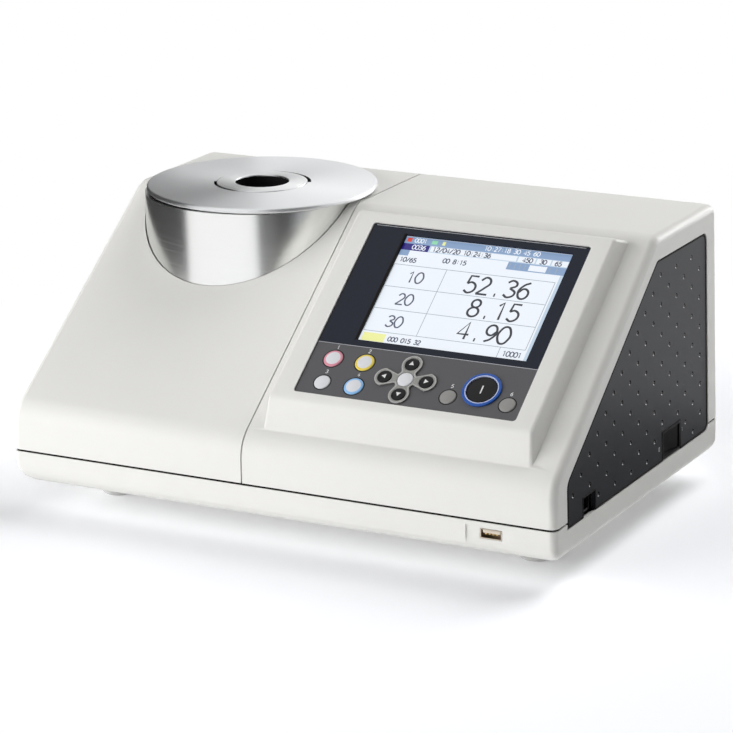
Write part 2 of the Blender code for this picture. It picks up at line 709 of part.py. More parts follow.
def box_form(name, inset, root):
    """The raised display box as a block that flares towards the slope."""
    left, right = BOX_FACE_LEFT + inset, BOX_FACE_RIGHT - inset
    low, high = BOX_FACE_LOW + inset, BOX_FACE_HIGH - inset
    top = FACE_LIFT - inset
    form = block(name, (left, low, -root), (right, high, top), CUTTERS)
    spread = (FACE_LIFT + root) / FACE_LIFT
    for vertex in form.data.vertices:
        if vertex.co.z < 0:
            outer = vertex.co.x > (left + right) / 2
            vertex.co.x += (BOX_RIGHT_FLARE if outer else -BOX_LEFT_FLARE) * spread
            upper = vertex.co.y > (low + high) / 2
            vertex.co.y += (BOX_HIGH_FLARE if upper else -BOX_LOW_FLARE) * spread
    form.data.transform(slope_frame())
    edge = max(BOX_EDGE - inset, BOX_EDGE / 2)
    round_edges(form, edge, BOX_EDGE_SEGMENTS, math.radians(30))
    return as_cutter(form)


def panel_corners(grow):
    """Outline of the side panel as seen from the side, grown outwards by a margin."""
    front = -HALF_DEPTH + PANEL_FRONT_MARGIN - grow
    rear = HALF_DEPTH - PANEL_REAR_MARGIN + grow
    top = CASING_TOP - PANEL_TOP_MARGIN + grow
    low = PANEL_LOW - grow
    slope = math.tan(SLOPE_ANGLE)
    drop = (PANEL_SLOPE_MARGIN - grow) / math.cos(SLOPE_ANGLE)
    knee = SLOPE_FOOT + (front + HALF_DEPTH) * slope - drop
    head = -HALF_DEPTH + (top + drop - SLOPE_FOOT) / slope
    small = max(PANEL_CORNER_RADIUS + grow, FIT)
    return [
        (front, low, 0),
        (front, knee, PANEL_KNEE_RADIUS + grow),
        (head, top, small),
        (rear, top, small),
        (rear, low, small),
    ]


def panel_solid(name, grow, inner_x, outer_x, collection=None):
    outline = rounded(panel_corners(grow), PANEL_ARC_STEPS)
    return lean_side(plate(name, outline, inner_x, outer_x, side_frame(), collection))


def column_hole(name, radius):
    low = SPHERE_Z
    return rod(name, (COLUMN_X, COLUMN_Y), radius, low, DISC_TOP + OVERRUN, STAGE_STEPS, CUTTERS)


def screw_bosses(cover, places):
    """Bosses inside the rear wall, each with a counterbore and a hole for its screw."""
    inner = REAR_INSIDE - TAB_SETBACK + TAB_THICKNESS + FIT
    for i, x in enumerate(places):
        centre = (x, COVER_SCREW_HEIGHT)
        tag = f"{cover.name}_screw_{i + 1}"
        outside = HALF_DEPTH + OVERRUN
        wall_middle = HALF_DEPTH - WALL / 2
        boss = cross_rod(tag + "_boss", "Y", centre, COVER_BOSS_RADIUS, inner, wall_middle, SCREW_STEPS)
        join(cover, boss)
        sink = HALF_DEPTH - COUNTERBORE_DEPTH
        bore = cross_rod(tag + "_counterbore", "Y", centre, COUNTERBORE_RADIUS, sink, outside, SCREW_STEPS)
        cut(cover, bore)
        radius = SCREW_RADIUS + FIT
        hole = cross_rod(tag + "_hole", "Y", centre, radius, inner - OVERRUN, outside, SCREW_STEPS)
        cut(cover, hole)


def half_space(name, x, side):
    """A block on the far side of the seam that is cut away from a cover."""
    reach = BODY_WIDTH
    low_x, high_x = (x, x + reach) if side > 0 else (x - reach, x)
    return block(name, (low_x, -BODY_DEPTH, -CASING_TOP), (high_x, BODY_DEPTH, 2 * CASING_TOP), CUTTERS)


def make_left_cover(palette):
    cover = casing_form("left_cover", 0, COVER_LOW - OVERRUN)
    cut(cover, casing_form("left_hollow", WALL, COVER_LOW - 2 * OVERRUN))
    cut(cover, half_space("left_trim", SEAM_X - SEAM_GAP / 2, 1))
    low = (-BODY_WIDTH, -BODY_DEPTH, -CASING_TOP)
    cut(cover, block("left_foot_trim", low, (BODY_WIDTH, BODY_DEPTH, COVER_LOW), CUTTERS))
    cut(cover, column_hole("left_column_hole", COLUMN_RADIUS + COLUMN_COVER_GAP))
    screw_bosses(cover, [x for x in COVER_SCREW_X if x < SEAM_X])
    return show(cover, palette["casing"])


def make_right_cover(palette):
    cover = casing_form("right_cover", 0, COVER_LOW - OVERRUN)
    join(cover, box_form("display_box", 0, BOX_ROOT))
    cut(cover, casing_form("right_hollow", WALL, COVER_LOW - 2 * OVERRUN))
    cut(cover, box_form("display_box_hollow", WALL, BOX_ROOT + WALL / 2))
    cut(cover, half_space("right_trim", SEAM_X + SEAM_GAP / 2, -1))
    low = (-BODY_WIDTH, -BODY_DEPTH, -CASING_TOP)
    cut(cover, block("right_foot_trim", low, (BODY_WIDTH, BODY_DEPTH, COVER_LOW), CUTTERS))
    window = rounded(
        [
            (WINDOW_LEFT, WINDOW_LOW, WINDOW_CORNER),
            (WINDOW_RIGHT, WINDOW_LOW, WINDOW_CORNER),
            (WINDOW_RIGHT, WINDOW_HIGH, WINDOW_CORNER),
            (WINDOW_LEFT, WINDOW_HIGH, WINDOW_CORNER),
        ],
        PANEL_ARC_STEPS,
    )
    cut(cover, plate("window_hole", window, SCREEN_BACK, FACE_LIFT + OVERRUN, slope_frame(), CUTTERS))
    inner = PANEL_LIP_X - OVERRUN
    cut(cover, panel_solid("panel_hole", PANEL_GAP, inner, HALF_WIDTH + OVERRUN, CUTTERS))
    rear = rounded(
        [
            (-REAR_OPENING_RIGHT, REAR_OPENING_LOW, REAR_OPENING_CORNER),
            (-REAR_OPENING_LEFT, REAR_OPENING_LOW, REAR_OPENING_CORNER),
            (-REAR_OPENING_LEFT, REAR_OPENING_HIGH, REAR_OPENING_CORNER),
            (-REAR_OPENING_RIGHT, REAR_OPENING_HIGH, REAR_OPENING_CORNER),
        ],
        PANEL_ARC_STEPS,
    )
    depth = REAR_INSIDE - OVERRUN / 2
    cut(cover, plate("rear_hole", rear, depth, HALF_DEPTH + OVERRUN, rear_frame(), CUTTERS))
    screw_bosses(cover, [x for x in COVER_SCREW_X if x > SEAM_X])
    return show(cover, palette["casing"])


def show(obj, material):
    """Move a finished form out of the cutters and give it its material."""
    if obj.name in CUTTERS.objects:
        CUTTERS.objects.unlink(obj)
    if obj.name not in COLORIMETER.objects:
        COLORIMETER.objects.link(obj)
    obj.hide_render = False
    obj.display_type = "TEXTURED"
    return dress(obj, material)


def make_seam_strip(palette):
    inset = WALL + FIT
    low = JOINT_HEIGHT + BAND_RISE + STRIP_BASE_GAP
    left, right = SEAM_X - STRIP_LEFT_REACH, SEAM_X + STRIP_RIGHT_REACH
    outer = rounded(casing_corners(inset, low), ARC_STEPS)
    strip = plate("seam_strip", outer, left, right, side_frame())
    inner = rounded(casing_corners(inset + STRIP_THICKNESS, low - OVERRUN), ARC_STEPS)
    left, right = left - OVERRUN, right + OVERRUN
    cut(strip, plate("seam_strip_hollow", inner, left, right, side_frame(), CUTTERS))
    cut(strip, column_hole("seam_strip_hole", COLUMN_RADIUS + COLUMN_COVER_GAP))
    return dress(strip, palette["casing"])


def tray_form(name, inset, low, high, collection=None):
    edge = EDGE_RADIUS - inset
    tallest = BASE_HIGH - BASE_UNDERSIDE - BAND_DROP
    radii = {
        ("Z", -1, -1): edge,
        ("Z", 1, -1): edge,
        ("Z", -1, 1): edge,
        ("Z", 1, 1): edge,
        ("X", -1, -1): min(BASE_FRONT_RADIUS, tallest) - inset,
        ("X", 1, -1): min(BASE_REAR_RADIUS, tallest) - inset,
        ("Y", -1, -1): min(BASE_LEFT_RADIUS, tallest) - inset,
        ("Y", 1, -1): min(BASE_RIGHT_RADIUS, tallest) - inset,
    }
    side, depth = HALF_WIDTH - inset, HALF_DEPTH - inset
    return rounded_box(name, (-side, -depth, low), (side, depth, high), radii, ARC_STEPS - 1, collection)


def make_base_tray(palette):
    tray = tray_form("base_tray", 0, BASE_UNDERSIDE, BASE_HIGH)
    cut(tray, tray_form("tray_hollow", WALL, BASE_FLOOR, BASE_HIGH + OVERRUN, CUTTERS))
    for tag, x, y in foot_places():
        low = FOOT_HEIGHT + FIT
        high = BASE_UNDERSIDE + WALL / 2
        boss = rod(f"foot_boss_{tag}", (x, y), FOOT_BOSS_RADIUS, low, high, FOOT_STEPS)
        join(tray, boss)
    for tag, x, y in chassis_screw_places():
        low = BASE_FLOOR - WALL / 2
        boss = rod(f"chassis_boss_{tag}", (x, y), CHASSIS_BOSS_RADIUS, low, BOSS_TOP, SCREW_STEPS)
        join(tray, boss)
        low = CHASSIS_TOP - SCREW_LENGTH - FIT
        radius, high = SCREW_RADIUS + FIT, BOSS_TOP + OVERRUN
        hole = rod(f"chassis_boss_hole_{tag}", (x, y), radius, low, high, SCREW_STEPS)
        cut(tray, hole)
    front, outside = -HALF_DEPTH, -HALF_DEPTH - OVERRUN
    low = (STICK_RECESS_LEFT, outside, STICK_RECESS_LOW)
    high = (STICK_RECESS_RIGHT, front + STICK_RECESS_DEPTH, STICK_RECESS_HIGH)
    cut(tray, block("stick_recess", low, high, CUTTERS))
    low = (STICK_SOCKET_LEFT - FIT, outside, STICK_SOCKET_LOW - FIT)
    high = (STICK_SOCKET_RIGHT + FIT, front + WALL + OVERRUN, STICK_SOCKET_HIGH + FIT)
    cut(tray, block("stick_hole", low, high, CUTTERS))
    inner = PANEL_LIP_X - OVERRUN
    cut(tray, panel_solid("tray_panel_hole", PANEL_GAP, inner, HALF_WIDTH + OVERRUN, CUTTERS))
    return dress(tray, palette["casing"])


def make_joint_band(palette):
    low, high = JOINT_HEIGHT - BAND_DROP, JOINT_HEIGHT + BAND_RISE
    inset = WALL + BAND_SETBACK
    inner = inset + BAND_THICKNESS
    shapes = []
    for name, move, lift in (("joint_band", inset, 0), ("joint_band_hollow", inner, OVERRUN)):
        edge = EDGE_RADIUS - WALL
        side, depth = HALF_WIDTH - move, HALF_DEPTH - move
        radii = {("Z", a, b): edge for a in (-1, 1) for b in (-1, 1)}
        corner_low = (-side, -depth, low - lift)
        corner_high = (side, depth, high + lift)
        shapes.append(rounded_box(name, corner_low, corner_high, radii, EDGE_SEGMENTS))
    band = cut(shapes[0], shapes[1])
    front = -HALF_DEPTH + PANEL_FRONT_MARGIN - BAND_PANEL_CLEARANCE
    rear = HALF_DEPTH - PANEL_REAR_MARGIN + BAND_PANEL_CLEARANCE
    corner = (HALF_WIDTH - inner - OVERRUN, front, low - OVERRUN)
    cut(band, block("joint_band_gap", corner, (HALF_WIDTH, rear, high + OVERRUN), CUTTERS))
    return dress(band, palette["rubber"])


def foot_places():
    return [
        ("front_left", -FOOT_X, FOOT_FRONT_Y),
        ("front_right", FOOT_X, FOOT_FRONT_Y),
        ("rear_left", -FOOT_X, FOOT_REAR_Y),
        ("rear_right", FOOT_X, FOOT_REAR_Y),
    ]


def chassis_screw_places():
    signs = [(-1, -1), (1, -1), (-1, 1), (1, 1)]
    return [
        (str(i + 1), a * CHASSIS_SCREW_X, b * CHASSIS_SCREW_Y) for i, (a, b) in enumerate(signs)
    ]


def make_feet(palette):
    edge = FOOT_RADIUS - FOOT_EDGE
    profile = [(0, FOOT_HEIGHT), (FOOT_RADIUS, FOOT_HEIGHT), (FOOT_RADIUS, FOOT_EDGE), (edge, 0), (0, 0)]
    for tag, x, y in foot_places():
        dress(turned(f"foot_{tag}", (x, y), profile, FOOT_STEPS), palette["foot"])


# Measuring stage
def make_stage_disc(palette):
    seat = MASK_RADIUS + MASK_GAP
    hole = NECK_BORE
    rim = DISC_RADIUS
    under = DISC_LOW + DISC_HUB_HEIGHT
    profile = [
        (rim - DISC_EDGE, DISC_TOP),
        (rim, DISC_TOP - DISC_EDGE),
        (rim, under + DISC_EDGE / 2),
        (rim - DISC_EDGE / 2, under),
        (DISC_HUB_RADIUS, under),
        (DISC_HUB_RADIUS, DISC_LOW),
        (hole, DISC_LOW),
        (hole, MASK_SEAT - FIT),
        (seat, MASK_SEAT - FIT),
        (seat, DISC_TOP),
    ]
    disc = turned("stage_disc", (STAGE_X, STAGE_Y), profile, STAGE_STEPS)
    floor = DISC_TOP - GROOVE_DEPTH
    sweep = math.pi - 2 * GROOVE_BREAK
    for tag, radius, turn in (
        ("far", GROOVE_UPPER_RADIUS, GROOVE_ANGLE),
        ("near", GROOVE_LOWER_RADIUS, GROOVE_ANGLE + math.pi),
    ):
        shift = Vector((math.cos(turn), math.sin(turn))) * GROOVE_SHIFT
        outline = []
        for k in range(MASK_STEPS // 2 + 1):
            angle = turn + GROOVE_BREAK + sweep * k / (MASK_STEPS // 2)
            outline.append(
                (
                    STAGE_X + shift.x + radius * math.cos(angle),
                    STAGE_Y + shift.y + radius * math.sin(angle),
                )
            )
        cut(disc, plate(f"finger_groove_{tag}", outline, floor, DISC_TOP + OVERRUN, None, CUTTERS))
    return dress(disc, palette["aluminium"])


def make_target_mask(palette):
    profile = [
        (MASK_RADIUS - MASK_EDGE, MASK_TOP),
        (MASK_RADIUS, MASK_TOP - MASK_EDGE),
        (MASK_RADIUS, MASK_SEAT),
        (MASK_SKIRT_RADIUS, MASK_SEAT),
        (MASK_SKIRT_RADIUS, MASK_SEAT - MASK_SKIRT_DEPTH),
        (PORT_RADIUS, MASK_SEAT - MASK_SKIRT_DEPTH),
        (PORT_RADIUS, MASK_TOP - MASK_EDGE),
        (PORT_RADIUS + MASK_EDGE, MASK_TOP),
    ]
    local = [(radius, height - MASK_TOP) for radius, height in profile]
    mask = turned("target_mask", (0, 0), local, MASK_STEPS)
    mask.location = (STAGE_X, STAGE_Y, MASK_TOP)
    return dress(mask, palette["aluminium"])


def make_port_column(palette):
    low, high = FLANGE_TOP + FIT, DISC_LOW - FIT
    inner = COLUMN_RADIUS - COLUMN_WALL
    profile = [(COLUMN_RADIUS, high), (COLUMN_RADIUS, low), (inner, low), (inner, high)]
    column = turned("port_column", (COLUMN_X, COLUMN_Y), profile, STAGE_STEPS)
    return dress(column, palette["aluminium"])


def arc_points(radius, height, start, stop):
    points = []
    for k in range(SPHERE_ARC_STEPS + 1):
        angle = start + (stop - start) * k / SPHERE_ARC_STEPS
        points.append((radius * math.cos(angle), height + radius * math.sin(angle)))
    return points


def make_sphere(palette):
    face = SPHERE_SPLIT
    tilt = math.asin(SPHERE_FLANGE_THICKNESS / SPHERE_OUTER)
    neck_tilt = math.acos(SPHERE_NECK_RADIUS / SPHERE_OUTER)
    bore_tilt = math.acos(NECK_BORE / SPHERE_RADIUS)
    upper = [(NECK_BORE, NECK_TOP), (SPHERE_NECK_RADIUS, NECK_TOP)]
    upper += arc_points(SPHERE_OUTER, SPHERE_Z + face, neck_tilt, tilt)
    upper += [(SPHERE_FLANGE_RADIUS, FLANGE_TOP), (SPHERE_FLANGE_RADIUS, SPHERE_Z + face)]
    upper += arc_points(SPHERE_RADIUS, SPHERE_Z + face, 0, bore_tilt)
    half = turned("sphere_upper", (STAGE_X, STAGE_Y), upper, SPHERE_STEPS)
    dress(half, palette["sphere"])
    hole = OPTICS_RADIUS + OPTICS_GAP
    outer_tilt = math.acos(hole / SPHERE_OUTER)
    inner_tilt = math.acos(hole / SPHERE_RADIUS)
    lower = [(SPHERE_RADIUS, SPHERE_Z - face), (SPHERE_FLANGE_RADIUS, SPHERE_Z - face)]
    lower += [(SPHERE_FLANGE_RADIUS, FLANGE_LOW)]
    lower += arc_points(SPHERE_OUTER, SPHERE_Z - face, -tilt, -outer_tilt)
    lower += arc_points(SPHERE_RADIUS, SPHERE_Z - face, -inner_tilt, 0)[:-1]
    half = turned("sphere_lower", (STAGE_X, STAGE_Y), lower, SPHERE_STEPS)
    centre = (STAGE_Y, SPHERE_Z - LAMP_SNOUT_DROP)
    port = cross_rod("lamp_port", "X", centre, LAMP_PORT_RADIUS, STAGE_X, LAMP_LEFT, SMALL_STEPS, CUTTERS)
    cut(half, port)
    dress(half, palette["sphere"])


def make_stage_frame(palette):
    low = FRAME_TOP - FRAME_RING_THICKNESS
    outer, inner = SPHERE_FLANGE_RADIUS, FRAME_RING_INNER
    profile = [(outer, FRAME_TOP), (outer, low), (inner, low), (inner, FRAME_TOP)]
    frame = turned("stage_frame", (STAGE_X, STAGE_Y), profile, SPHERE_STEPS)
    for i in range(LEG_COUNT):
        angle = LEG_START + 2 * math.pi * i / LEG_COUNT
        x = STAGE_X + LEG_RADIUS * math.cos(angle)
        y = STAGE_Y + LEG_RADIUS * math.sin(angle)
        half = LEG_SIDE / 2
        corner = (x - half, y - half, CHASSIS_TOP + FIT)
        top = FRAME_TOP - FRAME_RING_THICKNESS / 2
        join(frame, block(f"stage_leg_{i + 1}", corner, (x + half, y + half, top), CUTTERS))
    return dress(frame, palette["steel"])


def make_receiving_optics(palette):
    low = CHASSIS_TOP + FIT
    reach = OPTICS_RADIUS + OPTICS_GAP
    top = SPHERE_Z - math.sqrt(SPHERE_OUTER**2 - reach**2) + OPTICS_ENTRY
    bore = OPTICS_BORE_RADIUS
    profile = [(0, low + OPTICS_FLOOR), (bore, low + OPTICS_FLOOR), (bore, top), (OPTICS_RADIUS, top)]
    profile += [(OPTICS_RADIUS, low), (0, low)]
    tube = turned("receiving_optics", (STAGE_X, STAGE_Y), profile, SMALL_STEPS)
    return dress(tube, palette["black"])


def make_sensor_unit(palette):
    left = STAGE_X + OPTICS_RADIUS + OPTICS_GAP
    low = (left, STAGE_Y - SENSOR_DEPTH / 2, CHASSIS_TOP + FIT)
    high = (left + SENSOR_WIDTH, STAGE_Y + SENSOR_DEPTH / 2, CHASSIS_TOP + FIT + SENSOR_HEIGHT)
    return dress(block("sensor_unit", low, high), palette["black"])


def make_lamp_unit(palette):
    axis_z = SPHERE_Z - LAMP_SNOUT_DROP
    low = (LAMP_LEFT, STAGE_Y - LAMP_DEPTH / 2, CHASSIS_TOP + FIT)
    high = (LAMP_LEFT + LAMP_WIDTH, STAGE_Y + LAMP_DEPTH / 2, axis_z + LAMP_HEAD_ROOM)
    lamp = block("lamp_unit", low, high)
    across = math.sqrt(SPHERE_OUTER**2 - (LAMP_SNOUT_DROP - LAMP_SNOUT_RADIUS) ** 2)
    tip = STAGE_X + across + LAMP_SNOUT_GAP
    inside = LAMP_LEFT + LAMP_WIDTH / 2
    centre = (STAGE_Y, axis_z)
    snout = cross_rod("lamp_snout", "X", centre, LAMP_SNOUT_RADIUS, tip, inside, SMALL_STEPS, CUTTERS)
    join(lamp, snout)
    return dress(lamp, palette["black"])


# Chassis, board and screws
def make_chassis_plate(palette):
    side, depth = HALF_WIDTH - CHASSIS_SIDE_MARGIN, REAR_INSIDE - CHASSIS_END_MARGIN
    chassis = block("chassis_plate", (-side, -depth, CHASSIS_LOW), (side, depth, CHASSIS_TOP))
    middle = (CHASSIS_LOW + CHASSIS_TOP) / 2
    for tag, x, y in board_posts():
        post = rod(f"standoff_{tag}", (x, y), STANDOFF_RADIUS, middle, BOARD_LOW - FIT, SCREW_STEPS)
        join(chassis, post)
    tab_rear = REAR_INSIDE - TAB_SETBACK + TAB_THICKNESS
    for i, x in enumerate(COVER_SCREW_X):
        half = TAB_WIDTH / 2
        corner = (x - half, tab_rear - TAB_THICKNESS, middle)
        tab = block(f"tab_{i + 1}", corner, (x + half, tab_rear, TAB_TOP))
        join(chassis, tab)
        foot = block(
            f"tab_foot_{i + 1}",
            (x - half, depth - OVERRUN, CHASSIS_LOW + OVERLAP / 4),
            (x + half, tab_rear - OVERLAP / 4, CHASSIS_TOP - OVERLAP / 4),
        )
        join(chassis, foot)
        hole = cross_rod(
            f"tab_hole_{i + 1}",
            "Y",
            (x, COVER_SCREW_HEIGHT),
            SCREW_RADIUS + FIT,
            tab_rear - OVERRUN,
            tab_rear + OVERRUN / 2,
            SCREW_STEPS,
            CUTTERS,
        )
        cut(chassis, hole)
    for tag, x, y in chassis_screw_places():
        low, high = CHASSIS_LOW - OVERRUN / 2, CHASSIS_TOP + OVERRUN / 2
        cut(chassis, rod(f"chassis_hole_{tag}", (x, y), SCREW_RADIUS + FIT, low, high, SCREW_STEPS, CUTTERS))
    return dress(chassis, palette["steel"])


def board_posts():
    places = []
    for x in (BOARD_LEFT + BOARD_EDGE, BOARD_RIGHT - BOARD_EDGE):
        for y in (BOARD_FRONT + BOARD_EDGE, BOARD_REAR - BOARD_EDGE):
            places.append((str(len(places) + 1), x, y))
    return places


def make_main_board(palette):
    low, high = (BOARD_LEFT, BOARD_FRONT, BOARD_LOW), (BOARD_RIGHT, BOARD_REAR, BOARD_TOP)
    board = block("main_board", low, high)
    middle_x = (BOARD_LEFT + BOARD_RIGHT) / 2
    middle = (BOARD_LOW + BOARD_TOP) / 2
    for i, y in enumerate((BOARD_FRONT / 2, 0, BOARD_REAR / 2)):
        half = CHIP_SIDE / 2
        low = (middle_x - half, y - half / 2, middle)
        chip = block(f"chip_{i + 1}", low, (middle_x + half, y + half / 2, BOARD_TOP + CHIP_HEIGHT))
        join(board, chip)
        can_x = BOARD_LEFT + BOARD_EDGE + CHIP_SIDE / 2
        can = rod(f"can_{i + 1}", (can_x, y), CAN_RADIUS, middle, BOARD_TOP + CAN_HEIGHT, SMALL_STEPS)
        join(board, can)
    return dress(board, palette["board"])


def make_chassis_screws(palette):
    head, shank = SCREW_HEAD_RADIUS, SCREW_RADIUS
    seat = CHASSIS_TOP + FIT
    profile = [(0, seat + SCREW_HEAD_HEIGHT), (head, seat + SCREW_HEAD_HEIGHT), (head, seat)]
    profile += [(shank, seat), (shank, CHASSIS_TOP - SCREW_LENGTH), (0, CHASSIS_TOP - SCREW_LENGTH)]
    for tag, x, y in chassis_screw_places():
        dress(turned(f"chassis_screw_{tag}", (x, y), profile, SCREW_STEPS), palette["steel"])


def make_cover_screws(palette):
    seat = HALF_DEPTH - COUNTERBORE_DEPTH + FIT
    turn = Matrix.Rotation(-math.pi / 2, 4, "X")
    head, shank = SCREW_HEAD_RADIUS, SCREW_RADIUS
    high = seat + SCREW_HEAD_HEIGHT
    profile = [(0, high), (head, high), (head, seat), (shank, seat)]
    profile += [(shank, seat - COVER_SCREW_LENGTH), (0, seat - COVER_SCREW_LENGTH)]
    for i, x in enumerate(COVER_SCREW_X):
        screw = turned(f"cover_screw_{i + 1}", (0, 0), profile, SCREW_STEPS)
        screw.data.transform(Matrix.Translation((x, 0, COVER_SCREW_HEIGHT)) @ turn)
        dress(screw, palette["steel"])


# Display and keys, all placed in the plane of the slope
def slope_block(name, low, high, collection=None):
    obj = block(name, low, high, collection)
    obj.data.transform(slope_frame())
    return obj


def make_display(palette):
    split = FIT / 2
    outline = rounded(
        [
            (WINDOW_LEFT + FIT, WINDOW_SPLIT + split, 0),
            (WINDOW_RIGHT - FIT, WINDOW_SPLIT + split, 0),
            (WINDOW_RIGHT - FIT, WINDOW_HIGH - FIT, WINDOW_CORNER),
            (WINDOW_LEFT + FIT, WINDOW_HIGH - FIT, WINDOW_CORNER),
        ],
        PANEL_ARC_STEPS,
    )
    bezel = plate("display_bezel", outline, PANE_LOW, PANE_TOP, slope_frame())
    low = (SCREEN_LEFT, SCREEN_LOW, PANE_LOW - OVERRUN)
    cut(bezel, slope_block("screen_hole", low, (SCREEN_RIGHT, SCREEN_HIGH, PANE_TOP + OVERRUN), CUTTERS))
    dress(bezel, palette["bezel"])
    low = (SCREEN_LEFT - SCREEN_RIM, SCREEN_LOW - SCREEN_RIM, SCREEN_BACK)
    high = (SCREEN_RIGHT + SCREEN_RIM, SCREEN_HIGH + SCREEN_RIM, SCREEN_TOP)
    dress(slope_block("display_module", low, high), palette["screen"])


def make_display_bracket(palette):
    low = BRACKET_TOP - BRACKET_THICKNESS
    left, right = WINDOW_LEFT - BRACKET_REACH, WINDOW_RIGHT + BRACKET_REACH
    near, far = WINDOW_LOW - BRACKET_REACH / 2, WINDOW_HIGH + BRACKET_REACH / 2
    bracket = slope_block("display_bracket", (left, near, low), (right, far, BRACKET_TOP))
    middle = (low + BRACKET_TOP) / 2
    inset = BRACKET_POST_INSET
    for i, x in enumerate((left + inset, right - inset)):
        for j, y in enumerate((near + inset, far - inset)):
            high = FACE_LIFT - WALL - FIT
            post = rod(f"bracket_post_{i + 1}_{j + 1}", (x, y), BRACKET_POST_RADIUS, middle, high, SCREW_STEPS)
            post.data.transform(slope_frame())
            join(bracket, post)
    return dress(bracket, palette["steel"])


def key_places():
    """Name, place along the slope, radius, finish, and whether the key stands in the cursor pad."""
    side_y = MEASURE_KEY_Y - SIDE_KEY_DROP
    return [
        ("target_key", SOFT_KEY_X, SOFT_KEY_HIGH, RING_KEY_RADIUS, "pink_key", False),
        ("standard_key", SECOND_KEY_X, SOFT_KEY_HIGH, RING_KEY_RADIUS, "yellow_key", False),
        ("list_key", SOFT_KEY_X, SOFT_KEY_LOW, SMALL_KEY_RADIUS, "pale_key", False),
        ("options_key", SECOND_KEY_X, SOFT_KEY_LOW, RING_KEY_RADIUS, "blue_key", False),
        ("cursor_up_key", CURSOR_X, CURSOR_Y + CURSOR_REACH_Y, SMALL_KEY_RADIUS, "black", True),
        ("cursor_down_key", CURSOR_X, CURSOR_Y - CURSOR_REACH_Y, SMALL_KEY_RADIUS, "black", True),
        ("cursor_left_key", CURSOR_X - CURSOR_REACH_X, CURSOR_Y, SMALL_KEY_RADIUS, "black", True),
        ("cursor_right_key", CURSOR_X + CURSOR_REACH_X, CURSOR_Y, SMALL_KEY_RADIUS, "black", True),
        ("cursor_centre_key", CURSOR_X, CURSOR_Y, CENTRE_KEY_RADIUS, "pale_key", True),
        ("return_key", MEASURE_KEY_X - SIDE_KEY_REACH, side_y, SMALL_KEY_RADIUS, "grey_key", False),
        ("measure_key", MEASURE_KEY_X, MEASURE_KEY_Y, MEASURE_KEY_RADIUS, "black", False),
        ("output_key", MEASURE_KEY_X + SIDE_KEY_REACH, side_y, SMALL_KEY_RADIUS, "grey_key", False),
    ]


def make_key_panel(palette):
    outline = rounded(
        [
            (WINDOW_LEFT + FIT, WINDOW_LOW + FIT, WINDOW_CORNER),
            (WINDOW_RIGHT - FIT, WINDOW_LOW + FIT, WINDOW_CORNER),
            (WINDOW_RIGHT - FIT, WINDOW_SPLIT - FIT / 2, 0),
            (WINDOW_LEFT + FIT, WINDOW_SPLIT - FIT / 2, 0),
        ],
        PANEL_ARC_STEPS,
    )
    panel = plate("key_panel", outline, PANE_LOW, PANE_TOP, slope_frame())
    for name, x, y, radius, finish, in_pad in key_places():
        low, high = PANE_LOW - OVERRUN, PANE_TOP + OVERRUN
        hole = rod(name + "_hole", (x, y), radius + KEY_GAP, low, high, KEY_STEPS)
        hole.data.transform(slope_frame())
        cut(panel, hole)
    return dress(panel, palette["key_panel"])


def make_keys(palette):
    for name, x, y, radius, finish, in_pad in key_places():
        top = PANE_TOP + KEY_PROUD + (PAD_THICKNESS if in_pad else 0)
        low = KEY_FLANGE_TOP - KEY_FLANGE
        lip = radius + KEY_GAP + KEY_LIP / 2
        profile = [
            (0, top + KEY_CROWN),
            (radius / 2, top + KEY_CROWN * KEY_SHOULDER_SHARE),
            (radius - KEY_EDGE, top),
            (radius, top - KEY_EDGE),
            (radius, KEY_FLANGE_TOP),
            (lip, KEY_FLANGE_TOP),
            (lip, low),
            (0, low),
        ]
        local = [(reach, height - PANE_TOP) for reach, height in profile]
        key = turned(name, (0, 0), local, KEY_STEPS)
        key.matrix_world = slope_frame() @ Matrix.Translation((x, y, PANE_TOP))
        dress(key, palette[finish])


def make_cursor_pad(palette):
    low = PANE_TOP + FIT
    high = low + PAD_THICKNESS
    steps = 2 * KEY_STEPS
    pad = rod("cursor_pad", (CURSOR_X, CURSOR_Y), PAD_CENTRE_RADIUS, low, high, steps)
    pad.data.transform(slope_frame())
    for name, x, y, radius, finish, in_pad in key_places():
        if not in_pad:
            continue
        if name != "cursor_centre_key":
            lobe = rod(name + "_lobe", (x, y), PAD_LOBE_RADIUS, low, high, KEY_STEPS)
            lobe.data.transform(slope_frame())
            join(pad, lobe)
    for name, x, y, radius, finish, in_pad in key_places():
        if in_pad:
            bottom, top = low - OVERRUN, high + OVERRUN
            hole = rod(name + "_pad_hole", (x, y), radius + KEY_GAP, bottom, top, KEY_STEPS)
            hole.data.transform(slope_frame())
            cut(pad, hole)
    return dress(pad, palette["mat"])


def make_measure_ring(palette):
    low = PANE_TOP + FIT
    high = low + MEASURE_RING_HEIGHT
    inner, outer = MEASURE_KEY_RADIUS + MEASURE_RING_GAP, MEASURE_RING_RADIUS
    edge = MEASURE_RING_HEIGHT / 2
    profile = [(outer - edge, high), (outer, high - edge), (outer, low), (inner, low), (inner, high)]
    ring = turned("measure_ring", (MEASURE_KEY_X, MEASURE_KEY_Y), profile, 2 * KEY_STEPS)
    ring.data.transform(slope_frame())
    return dress(ring, palette["blue_ring"])


def make_key_board_and_mat(palette):
    margin = KEY_MAT_MARGIN
    left, right = WINDOW_LEFT + margin, WINDOW_RIGHT - margin
    near, far = WINDOW_LOW + margin / 2, SCREEN_LOW - SCREEN_RIM - FIT
    board = slope_block("key_board", (left, near, KEY_BOARD_LOW), (right, far, KEY_BOARD_TOP))
    dress(board, palette["board"])
    high = KEY_MAT_LOW + KEY_MAT_THICKNESS
    mat = slope_block("key_mat", (left, near, KEY_MAT_LOW), (right, far, high))
    dress(mat, palette["mat"])


